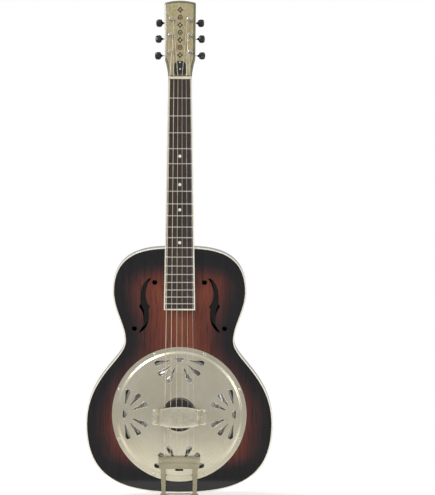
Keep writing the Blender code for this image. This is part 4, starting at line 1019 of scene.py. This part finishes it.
def lozenge(wide, tall):
    """A four-pointed star-like lozenge with sides bent gently inwards."""
    half = np.array([(0.0, tall), (wide, 0.0), (0.0, -tall), (-wide, 0.0)])
    share = np.linspace(0, 1, 9)[:-1, None]
    sides = [start + (end - start) * share for start, end in zip(half, np.roll(half, -1, 0))]
    bend = 1 - 0.16 * np.sin(share * math.pi)
    return np.concatenate([side * bend for side in sides])


def make_ornament():
    """A column of black figures down the headstock's face: open lozenges and ringed dots."""
    for number, station in enumerate(np.linspace(0.0462, 0.1330, 7)):
        tag = "head_ornament_" + str(number + 1)
        if number % 2 == 0:
            outer, hole, core = lozenge(0.0058, 0.0064), lozenge(0.0030, 0.0033), None
        else:
            outer, hole, core = circle(0.0046, 32), circle(0.0029, 24), circle(0.0014, 16)
        place = HEAD @ Matrix.Translation((0, station, 0))
        figures = [(tag, outer, [hole])] + ([(tag + "_dot", core, [])] if core is not None else [])
        for name, loop, holes in figures:
            pierced_sheet(name, loop, holes, 0.002, level(0.00022), level(-0.0002), place,
                          LOOKS["black"], slot="black_plastic")


def fret_z(number):
    """Height of a fret by the rule of the twelfth root of two."""
    return NUT_Z - SCALE_LENGTH * (1 - 2 ** (-number / 12))


def make_fingerboard():
    """Board, nineteen domed frets with bevelled ends, dots, and the cream binding."""
    z = np.linspace(BOARD_END_Z + BOARD_BINDING + GAP, NUT_Z, 60)
    half = board_half(z) - BOARD_BINDING - 0.0001
    top = -board_top(z)
    share = np.linspace(-1, 1, 13)
    crown = 0.0004 * share ** 2
    grid = np.empty((len(z), 15, 3))
    grid[:, :13, 0] = half[:, None] * share
    grid[:, :13, 1] = top[:, None] + crown
    grid[:, 13, 0], grid[:, 14, 0] = half, -half
    grid[:, 13:, 1] = (top + BOARD_THICKNESS)[:, None]
    grid[..., 2] = z[:, None]
    sheet_from_grid("fingerboard", grid, LOOKS["board"], replaces="fretboard", slot="board_wood")
    frame["nodes"]["fretboard_binding"].data.materials[0] = LOOKS["cream"]

    for number in range(1, FRETS + 1):
        height = fret_z(number)
        reach = board_half(height) - BOARD_BINDING + 0.0004
        x = np.concatenate([[-1.0, -0.995, -0.985, -0.96], np.linspace(-0.9, 0.9, 13),
                            [0.96, 0.985, 0.995, 1.0]]) * reach
        end = np.clip((reach - np.abs(x)) / 0.0012, 0, 1) ** 0.6
        angle = np.linspace(0, math.pi, 9)
        width, rise = 0.0011, 0.00095
        grid = np.empty((len(x), 9, 3))
        grid[..., 0] = x[:, None]
        grid[..., 1] = (-board_top(height) + 0.0004 * (x / reach) ** 2 + 0.00005)[:, None] \
            - rise * np.sin(angle) * (0.25 + 0.75 * end)[:, None]
        grid[..., 2] = height + width * np.cos(angle)
        sheet_from_grid("fret_" + str(number).zfill(2), grid, LOOKS["fret"], slot="nickel_parts")

    for number in DOT_FRETS:
        middle = (fret_z(number) + fret_z(number - 1)) / 2
        place = BOARD @ Matrix.Translation((0, (middle - BODY_TOP_Z) / math.cos(NECK_TILT), 0))
        turned("board_dot_" + str(number), [(0.0, 0.00006), (0.0026, 0.00006), (0.0030, 0.0),
                                            (0.0030, -0.0008), (0.0, -0.0008)], place, LOOKS["dot"],
               36, slot="bone")


def make_nut():
    """Bone nut with round-bottomed notches and eased edges."""
    foot = board_top(NUT_Z + NUT_LENGTH) - BOARD_THICKNESS + GAP
    bar = notched(BOARD_HALF_AT_NUT, board_top(NUT_Z) + NUT_RISE, foot, STRING_SPREAD_NUT, 0.0016)
    place = Matrix.Translation((0, 0, NUT_Z + (NUT_LENGTH + GAP) / 2))
    half = (NUT_LENGTH - GAP) / 2
    nut = pierced_sheet("nut_bone", bar, [], 0.004, level(half), level(-half), place, LOOKS["bone"],
                        replaces="nut", slot="bone")
    bevelled(nut, 0.0004, 2)


def make_truss_cover():
    """Bell-shaped black cover with bevelled edges and two screws."""
    right = smooth_run([(0.0112, 0.0085), (0.0112, 0.0180), (0.0110, 0.0240), (0.0096, 0.0300),
                        (0.0066, 0.0330), (0.0052, 0.0338), (0.0030, 0.0345)], 5)
    loop = np.concatenate([right, (right * [-1, 1])[::-1]])
    cover = pierced_sheet("truss_cover", loop, [], 0.004, level(0.0018), level(GAP), HEAD,
                          LOOKS["black"], replaces="truss_rod_cover", slot="black_plastic")
    bevelled(cover, 0.0003, 2, 50)
    for k, station in enumerate((0.0318, 0.0190)):
        screw("truss_cover_screw_" + str(k + 1), HEAD @ Matrix.Translation((0, station, 0.0017)),
              0.0017, LOOKS["nickel"], 0.0006, turn=0.2 + k)


# ---------------------------------------------------------------- tuners
def head_at(x, v, height=0.0):
    """The headstock's frame moved to a place on it."""
    return HEAD @ Matrix.Translation((x, v, height))


def gear_teeth(place, name, body):
    """Spur gear: a wheel whose radius follows a rounded tooth wave."""
    steps = GEAR_TEETH * 12
    angle = np.arange(steps) * TAU / steps
    phase = (angle * GEAR_TEETH / TAU) % 1.0
    wave = np.clip((0.27 - np.minimum(phase, 1 - phase)) / 0.16, 0, 1)
    tip, root = GEAR_RADIUS + 0.00040, GEAR_RADIUS - 0.00050
    radius = root + (tip - root) * wave
    profile = ((0.35, -0.0047), (0.9, -0.0047), (1.0, -0.0045), (1.0, -0.0025), (0.9, -0.0023),
               (0.35, -0.0023))
    grid = np.empty((len(profile), steps, 3))
    for row, (share, height) in enumerate(profile):
        size = radius * share if share >= 0.9 else np.full(steps, GEAR_RADIUS * share)
        grid[row, :, 0], grid[row, :, 1] = size * np.cos(angle), size * np.sin(angle)
        grid[row, :, 2] = height
    piece(name, placed(grid.reshape(-1, 3), place), grid_faces(len(profile), steps, True, True),
          LOOKS["brass"], body=body, slot="steel")


def worm(name, place, body):
    """One-start worm: radius follows a rounded thread that advances with the angle."""
    sides, rows = 24, 110
    x = np.linspace(-0.0028, 0.0028, rows)[:, None]
    angle = (np.arange(sides) * TAU / sides)[None, :]
    phase = (x / WORM_LEAD - angle / TAU + 0.5) % 1.0
    swell = smooth_step((0.27 - np.abs(phase - 0.5)) / 0.16)
    crest, root = WORM_RADIUS + 0.00034, WORM_RADIUS - 0.00048
    fade = smooth_step((0.0028 - np.abs(x)) / 0.0004)
    radius = root + (crest - root) * swell * fade
    grid = np.stack([x + 0 * angle, radius * np.cos(angle), radius * np.sin(angle)], -1)
    sheet_from_grid(name, placed(grid.reshape(-1, 3), place).reshape(grid.shape), LOOKS["steel"],
                    body=body, slot="steel")


def knob(name, place, reach, roll, body):
    """Moulded button: squarish oval seen from its face, both faces softly domed."""
    around, rows = 48, 17
    angle = (np.arange(around) * TAU / around)[None, :]
    lat = np.linspace(-math.pi / 2, math.pi / 2, rows)[:, None]
    power = 0.72
    outline_x = 0.0061 * np.sign(np.cos(angle)) * np.abs(np.cos(angle)) ** power
    outline_y = 0.0076 * np.sign(np.sin(angle)) * np.abs(np.sin(angle)) ** power
    size = np.abs(np.cos(lat)) ** 0.42
    size[0], size[-1] = 0.0, 0.0
    depth = 0.0044 * np.sign(np.sin(lat)) * np.abs(np.sin(lat)) ** 0.85
    grid = np.stack([reach + outline_x * size, outline_y * size, depth + 0 * angle], -1)
    turn = place @ Matrix.Rotation(roll, 4, "X")
    sheet_from_grid(name, placed(grid.reshape(-1, 3), turn).reshape(grid.shape), LOOKS["black"],
                    caps=False, body=body, slot="button_black", sharp=70)


def make_tuner(index):
    """One machine head: knob, shaft and worm; post, gear and wraps; plate, bushing and screws."""
    number, side = TUNERS[index]
    station, x = POST_STATIONS[number]
    tag = str(index + 1)
    button, post = "button_" + tag, "post_" + tag
    back = head_at(side * x, station, -HEAD_THICKNESS)
    shaft_place = back @ Matrix.Translation((0, -WORM_OFFSET, -WORM_DEPTH))
    if side < 0:
        shaft_place = shaft_place @ Matrix.Rotation(math.pi, 4, "Z")
    reach = BUTTON_REACH[number] - x
    worm("tuner_worm_" + tag, shaft_place, button)
    spin = shaft_place @ Matrix.Rotation(math.pi / 2, 4, "Y")
    outer = [(0.0, -0.0066), (0.0009, -0.0066), (0.0011, -0.0063), (0.0011, -0.0030),
             (0.0009, -0.0027), (0.0, -0.0027)]
    turned("tuner_tip_" + tag, outer, spin, LOOKS["nickel"], 20, body=button, slot="nickel_parts")
    arm = [(0.0, 0.0027), (0.0009, 0.0027), (0.0011, 0.0030), (0.0011, 0.0060), (0.0015, 0.0064),
           (0.0015, 0.0078), (0.0011, 0.0084), (0.0010, reach - 0.0100), (0.0012, reach - 0.0092),
           (0.0022, reach - 0.0074), (0.0026, reach - 0.0066), (0.0, reach - 0.0060)]
    turned("tuner_arm_" + tag, arm, spin, LOOKS["nickel"], 24, body=button, slot="nickel_parts")
    collar = [(0.0, reach - 0.0088), (0.0014, reach - 0.0088), (0.0019, reach - 0.0080),
              (0.0033, reach - 0.0056), (0.0040, reach - 0.0040), (0.0, reach - 0.0036)]
    turned("tuner_collar_" + tag, collar, spin, LOOKS["black"], 28, body=button, slot="button_black")
    knob("tuner_knob_" + tag, shaft_place, reach, math.radians(BUTTON_ROLLS[index]), button)
    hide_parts("tuner_button_" + tag)

    front = HEAD_THICKNESS
    outline = [(0.0, -0.0050), (0.0015, -0.0050), (0.0017, -0.0048), (0.0017, -0.0012),
               (0.0029, 0.0004), (0.0029, front + 0.0046), (0.0026, front + 0.0054),
               (0.0025, front + 0.0066), (0.0026, front + 0.0078), (0.0030, front + 0.0096),
               (0.0030, front + 0.0114), (0.0026, front + 0.0122), (0.0, front + 0.0122)]
    turned("string_post_" + tag, outline, back, LOOKS["nickel"], 32, body=post, slot="steel",
           replaces="tuner_post_" + tag)
    half_tooth = math.pi / GEAR_TEETH if side > 0 else 0.0
    gear_teeth(back @ Matrix.Rotation(-math.pi / 2 + half_tooth, 4, "Z"), "tuner_gear_" + tag, post)
    screw("gear_screw_" + tag, back @ Matrix.Translation((0, 0, -0.0047)) @ Matrix.Rotation(math.pi, 4, "X"),
          0.0017, LOOKS["steel"], 0.0007, body=post, slot="steel", turn=0.3 + index)
    wire = STRING_DIAMETERS[index] / 2
    turns = 2.6
    t = np.linspace(0, 1, 90)
    start = math.pi if side > 0 else 0.0
    height = front + 0.0072 - t * turns * wire * 2.1
    radius = 0.0026 + wire
    angle = start - side * t * turns * TAU
    coil = np.column_stack([radius * np.cos(angle), radius * np.sin(angle), height])
    look = LOOKS["plain"] if index < 2 else LOOKS["wound"]
    wraps = tube("string_wraps_" + tag, placed(coil, back), wire, look, 8, body=post,
                 slot="string_steel" if index < 2 else "string_wound")
    attribute(wraps, "length", np.repeat(t * turns * TAU * radius, 8)[:len(wraps.data.vertices)])

    bush = [(0.0050, front + 0.0003), (0.0049, front + 0.0008), (0.0045, front + 0.0014),
            (0.0038, front + 0.0017), (0.0031, front + 0.0016), (0.0031, front - 0.0060),
            (0.0042, front - 0.0060), (0.0042, front + 0.0003)]
    turned("post_bushing_" + tag, bush, back, LOOKS["nickel"], 40, slot="nickel_parts",
           replaces="tuner_bushing_" + tag)
    edge = [(-0.0060, -0.0100), (0.0060, -0.0100), (0.0060, 0.0090), (0.0035, 0.0120),
            (-0.0035, 0.0120), (-0.0060, 0.0090)]
    plate = pierced_sheet("tuner_plate_" + tag, np.array(edge), [circle(0.0024, 20)], 0.004,
                          level(-GAP), level(-0.0012), back, LOOKS["nickel"], slot="nickel_parts",
                          replaces="tuner_housing_" + tag)
    bevelled(plate, 0.0002, 2)
    lean = Matrix(((0, 0, 1, 0), (1, 0, 0, 0), (0, -1, 0, 0), (0, 0, 0, 1)))
    tab = smooth_run([(-0.0019, 0.0008), (-0.0019, 0.0036), (-0.0024, 0.0054), (-0.0046, 0.0062),
                      (-0.0067, 0.0054), (-0.0072, 0.0036), (-0.0072, 0.0008)], 4)
    tab = np.concatenate([tab, [[-0.0072, 0.0008]]])
    bore = circle(0.00122, 16, (-WORM_OFFSET, WORM_DEPTH))
    for end, low in (("a", -0.0055), ("b", 0.0043)):
        ear = pierced_sheet("tuner_ear_" + tag + end, tab, [bore], 0.002, level(low + 0.0012),
                            level(low), back @ lean, LOOKS["nickel"], slot="nickel_parts")
        bevelled(ear, 0.00015, 1)
    for k, row in enumerate((-0.0086, 0.0098)):
        place = back @ Matrix.Translation((0, row, -0.0012)) @ Matrix.Rotation(math.pi, 4, "X")
        screw("tuner_screw_" + tag + "ab"[k], place, 0.0014, LOOKS["steel"], 0.0006, slot="steel",
              turn=0.7 * k + index)


# ---------------------------------------------------------------- strings
def make_strings():
    """Six strings from their ball ends over the saddle and nut to their posts."""
    nut_height = board_top(NUT_Z) + NUT_RISE - 0.0010
    for index, (number, side) in enumerate(TUNERS):
        radius = STRING_DIAMETERS[index] / 2
        station, x = POST_STATIONS[number]
        inner = side * (x - 0.0028 - radius)
        post = HEAD @ Vector((inner, station, 0.0072))
        x_nut, x_saddle = string_x(index, STRING_SPREAD_NUT), string_x(index, STRING_SPREAD_SADDLE)
        knots = [(x_saddle, -0.0948, TAIL_HIGH[2] - 0.0030),
                 (x_saddle, -SADDLE_HEIGHT + 0.0004, SADDLE_Z - 0.0030),
                 (x_saddle, -SADDLE_HEIGHT, SADDLE_Z - 0.0008),
                 (x_saddle, -SADDLE_HEIGHT, SADDLE_Z + 0.0030),
                 (x_nut, -nut_height, NUT_Z - 0.0020), (x_nut, -nut_height, NUT_Z + 0.0012),
                 (x_nut, -nut_height + 0.0007, NUT_Z + NUT_LENGTH), tuple(post)]
        knots = np.array(knots)
        pieces = [np.linspace(a, b, 24 if np.linalg.norm(b - a) > 0.02 else 4)[:-1]
                  for a, b in zip(knots[:-1], knots[1:])]
        path = np.concatenate(pieces + [knots[-1:]])
        sides = 10
        look = LOOKS["plain"] if index < 2 else LOOKS["wound"]
        tag = str(index + 1)
        slot = "string_steel" if index < 2 else "string_wound"
        string = tube("string_run_" + tag, path, radius, look, sides, replaces="string_" + tag,
                      slot=slot)
        length = np.concatenate([[0], np.cumsum(np.linalg.norm(np.diff(path, axis=0), axis=1))])
        attribute(string, "length", np.repeat(length, sides)[:len(string.data.vertices)])
        ball = Matrix.Translation((x_saddle, -0.0946, TAIL_HIGH[2] - 0.0046)) @ Matrix.Rotation(
            math.pi / 2, 4, "Y")
        turned("ball_end_" + tag, [(0.0008, -0.0014), (0.0019, -0.0014), (0.0015, 0.0),
                                   (0.0019, 0.0014), (0.0008, 0.0014)], ball, LOOKS["brass"], 20,
               slot="string_wound")


# ---------------------------------------------------------------- tailpiece
def make_tailpiece():
    """Folded plate with a hemmed edge, two ridged straps with eyes, rivets; three bracket screws."""
    pin = JOINTS["tailpiece_hinge"]["pos_m"]
    top, foot = TAIL_HIGH[2], -0.1026
    plate_back = -0.0962
    z = np.array([top - 0.0034, top - 0.0026, top - 0.0010, top, top, top - 0.0008, top - 0.0026,
                  top - 0.0034, top - 0.0060, top - 0.0120, foot + 0.001, foot, foot, top - 0.0034])
    y = np.array([plate_back, plate_back, plate_back, plate_back - 0.0008, plate_back - 0.0030,
                  plate_back - 0.0037, plate_back - 0.0038, plate_back - 0.0031,
                  plate_back - 0.0026, plate_back - 0.0024, plate_back - 0.0022, plate_back - 0.0018,
                  plate_back, plate_back])
    share = np.linspace(-1, 1, 41)
    grid = np.empty((len(share), len(z), 3))
    half = 0.0392 - 0.0016 * (top - z) / (top - foot)
    grid[..., 0] = share[:, None] * half
    grid[..., 1] = y
    grid[..., 2] = z - 0.0006 * (np.abs(share) ** 12)[:, None] * (z > top - 0.002)
    sheet_from_grid("tail_plate", grid, LOOKS["tail"], body="tailpiece_frame", replaces="tailpiece",
                    slot="nickel_cover", sharp=40)
    for side in (-1, 1):
        tag = "left" if side < 0 else "right"
        knots = [(plate_back - 0.0010, foot + 0.0040, 0.0302, 0.0047),
                 (-0.0935, -0.1200, 0.0299, 0.0044), (-0.0895, -0.1420, 0.0295, 0.0040),
                 (-0.0880, -0.1490, 0.0292, 0.00375), (-0.0860, -0.1519, 0.0290, 0.00375),
                 (-0.0830, -0.1536, 0.0288, 0.00375), (pin[1] - 0.0022, pin[2] - 0.0021, 0.0288, 0.00375)]
        run = np.concatenate([smooth_run(knots, 6), [knots[-1]]])
        ahead = np.gradient(run[:, :2], axis=0)
        ahead /= np.linalg.norm(ahead, axis=1)[:, None]
        out = np.column_stack([ahead[:, 1], -ahead[:, 0]])
        across = np.array([-1, -0.93, -0.42, -0.28, 0, 0.28, 0.42, 0.93, 1, 1, -1])
        lift = np.array([0.0003, 0.0006, 0.0007, 0.0012, 0.0015, 0.0012, 0.0007, 0.0006, 0.0003,
                         -0.0007, -0.0007])
        grid = np.empty((len(run), len(across), 3))
        grid[..., 0] = side * run[:, 2:3] + across * run[:, 3:]
        grid[..., 1] = run[:, :1] + out[:, :1] * lift
        grid[..., 2] = run[:, 1:2] + out[:, 1:] * lift
        sheet_from_grid("tail_strap_" + tag, grid, LOOKS["tail"], body="tailpiece_frame",
                        slot="nickel_cover", sharp=40)
        eye = Matrix.Translation((side * 0.0288, pin[1], pin[2])) @ Matrix.Rotation(math.pi / 2, 4, "Y")
        turned("tail_eye_" + tag, [(0.00158, -0.00375), (0.0023, -0.00375), (0.0026, -0.0034),
                                   (0.0026, 0.0034), (0.0023, 0.00375), (0.00158, 0.00375)], eye,
               LOOKS["tail"], 32, body="tailpiece_frame", slot="nickel_cover")
        rivet = FRONT @ Matrix.Translation((side * 0.0355, top - 0.0100, -plate_back + 0.0024))
        turned("tail_rivet_" + tag, [(0.0, 0.0009), (0.0008, 0.0008), (0.0014, 0.0003),
                                     (0.0016, -0.0002), (0.0, -0.0002)], rivet, LOOKS["nickel"], 24,
               body="tailpiece_frame", slot="nickel_parts")
    foot_z = BODY_BOTTOM_Z - GAP
    for k, (side, y_at) in enumerate(((-1, -0.0480), (1, -0.0480), (0, -0.0600))):
        place = Matrix.Translation((side * 0.0150, y_at, foot_z - 0.0014)) @ Matrix.Rotation(math.pi, 4, "X")
        screw("bracket_screw_" + str(k + 1), place, 0.0026, LOOKS["nickel"], 0.0013, turn=0.6 * k)


NODE_LOOKS = {
    "top_lining": "inner", "back_lining": "inner", "neck_block": "inner", "tail_block": "inner",
    "neck_stick": "inner", "soundwell": "inner", "truss_rod": "steel", "truss_rod_nut": "steel",
    "tailpiece_pin": "steel", "tailpiece_bracket": "nickel", "end_pin": "nickel",
    "strap_button": "nickel",
}


def finish_nodes():
    """Give the carried-over nodes their finished materials."""
    for node, look in NODE_LOOKS.items():
        obj = frame["nodes"][node]
        obj.data.materials.clear()
        obj.data.materials.append(LOOKS[look])


# ---------------------------------------------------------------- stage, light and camera
def emitter(name, size, place, target, power, colour=(1.0, 1.0, 1.0)):
    """A square soft light aimed at a point."""
    data = bpy.data.lights.new(name, "AREA")
    data.shape = "RECTANGLE"
    data.size, data.size_y = size
    data.energy = power
    data.color = colour
    obj = bpy.data.objects.new(name, data)
    bpy.context.scene.collection.objects.link(obj)
    obj.location = place
    obj.rotation_euler = (Vector(target) - Vector(place)).to_track_quat("-Z", "Y").to_euler()
    return obj


def make_stage():
    """Pale floor disc with a painted glow that rises towards its rim, fading it into a white world; key
    light from upper left, fill and rear light.

    Reflections see a room that is brighter above than below, and a dimmer floor.
    """
    finish = Finish("studio_floor", srgb(250, 250, 248), 0.9)
    finish.shader.inputs["Specular IOR Level"].default_value = 0.0
    where = finish.node("ShaderNodeTexCoord")
    radius = finish.node("ShaderNodeVectorMath", operation="LENGTH")
    finish.link(where.outputs["Object"], radius.inputs[0])
    # painted glow: the floor emits white light, faint in its middle, full at its rim and weaker in
    # reflections
    glow = finish.spread(radius.outputs["Value"], 0.05, 1.0, 0.28, FLOOR_RADIUS)
    finish.shader.inputs["Emission Color"].default_value = (1.0, 1.0, 1.0, 1.0)
    seen = finish.node("ShaderNodeLightPath")
    share = finish.spread(seen.outputs["Is Camera Ray"], FLOOR_IN_REFLECTIONS, 1.0, 0.0, 1.0)
    strength = finish.node("ShaderNodeMath", operation="MULTIPLY")
    finish.link(glow, strength.inputs[0])
    finish.link(share, strength.inputs[1])
    finish.link(strength.outputs["Value"], finish.shader.inputs["Emission Strength"])
    low = cad_box[0][2] - 0.002
    ring = circle(FLOOR_RADIUS, 96)
    mesh = bpy.data.meshes.new("floor")
    mesh.from_pydata(np.column_stack([ring, np.full(len(ring), low)]).tolist(), [],
                     [list(range(len(ring)))])
    mesh.materials.append(finish.material)
    floor = bpy.data.objects.new("floor", mesh)
    bpy.context.scene.collection.objects.link(floor)

    world = bpy.data.worlds.new("studio")
    bpy.context.scene.world = world
    world.use_nodes = True
    tree = world.node_tree
    background = tree.nodes["Background"]
    background.inputs["Color"].default_value = (1.0, 1.0, 1.0, 1.0)
    path = tree.nodes.new("ShaderNodeLightPath")
    strength = tree.nodes.new("ShaderNodeMapRange")
    direction = tree.nodes.new("ShaderNodeTexCoord")
    upward = tree.nodes.new("ShaderNodeSeparateXYZ")
    tree.links.new(direction.outputs["Generated"], upward.inputs["Vector"])
    gradient = tree.nodes.new("ShaderNodeMapRange")
    gradient.inputs["From Min"].default_value = -1.0
    gradient.inputs["To Min"].default_value = ROOM_LIGHT_BELOW
    gradient.inputs["To Max"].default_value = ROOM_LIGHT_ABOVE
    tree.links.new(upward.outputs["Z"], gradient.inputs["Value"])
    tree.links.new(gradient.outputs["Result"], strength.inputs["To Min"])
    strength.inputs["To Max"].default_value = 1.0
    tree.links.new(path.outputs["Is Camera Ray"], strength.inputs["Value"])
    tree.links.new(strength.outputs["Result"], background.inputs["Strength"])
    middle = (0.0, -0.05, 0.30)
    emitter("key_light", (1.2, 1.2), (-1.6, -2.4, 2.4), middle, 52.0, (1.0, 0.99, 0.97))
    emitter("fill_light", (1.4, 1.0), (2.2, -2.4, 0.9), middle, 14.0, (0.97, 0.98, 1.0))
    emitter("rear_light", (1.6, 1.0), (-0.4, 2.4, 1.9), middle, 34.0)


def make_camera():
    """A long lens looking at the front from slightly above, level but for a trace of roll."""
    distance, elevation, roll = CAMERA_DISTANCE, CAMERA_ELEVATION, CAMERA_ROLL
    data = bpy.data.cameras.new("camera")
    data.sensor_width = 36.0
    data.lens = data.sensor_width * distance / VIEW_HEIGHT
    data.clip_end = 60.0
    camera = bpy.data.objects.new("camera", data)
    bpy.context.scene.collection.objects.link(camera)
    back = Vector((0.0, -math.cos(elevation), math.sin(elevation)))
    target = Vector((0.0714, FRONT_Y, 0.3152))
    camera.location = target + back * distance
    look = (-back).to_track_quat("-Z", "Y").to_matrix().to_4x4()
    camera.rotation_euler = (look @ Matrix.Rotation(roll, 4, "Z")).to_euler()
    bpy.context.scene.camera = camera
    bpy.context.scene.view_settings.view_transform = "Standard"


make_stage()
make_camera()
make_body()
make_cone()
make_coverplate()
make_hand_rest()
make_neck()
make_fingerboard()
make_nut()
make_truss_cover()
for tuner in range(6):
    make_tuner(tuner)
make_strings()
make_tailpiece()
finish_nodes()
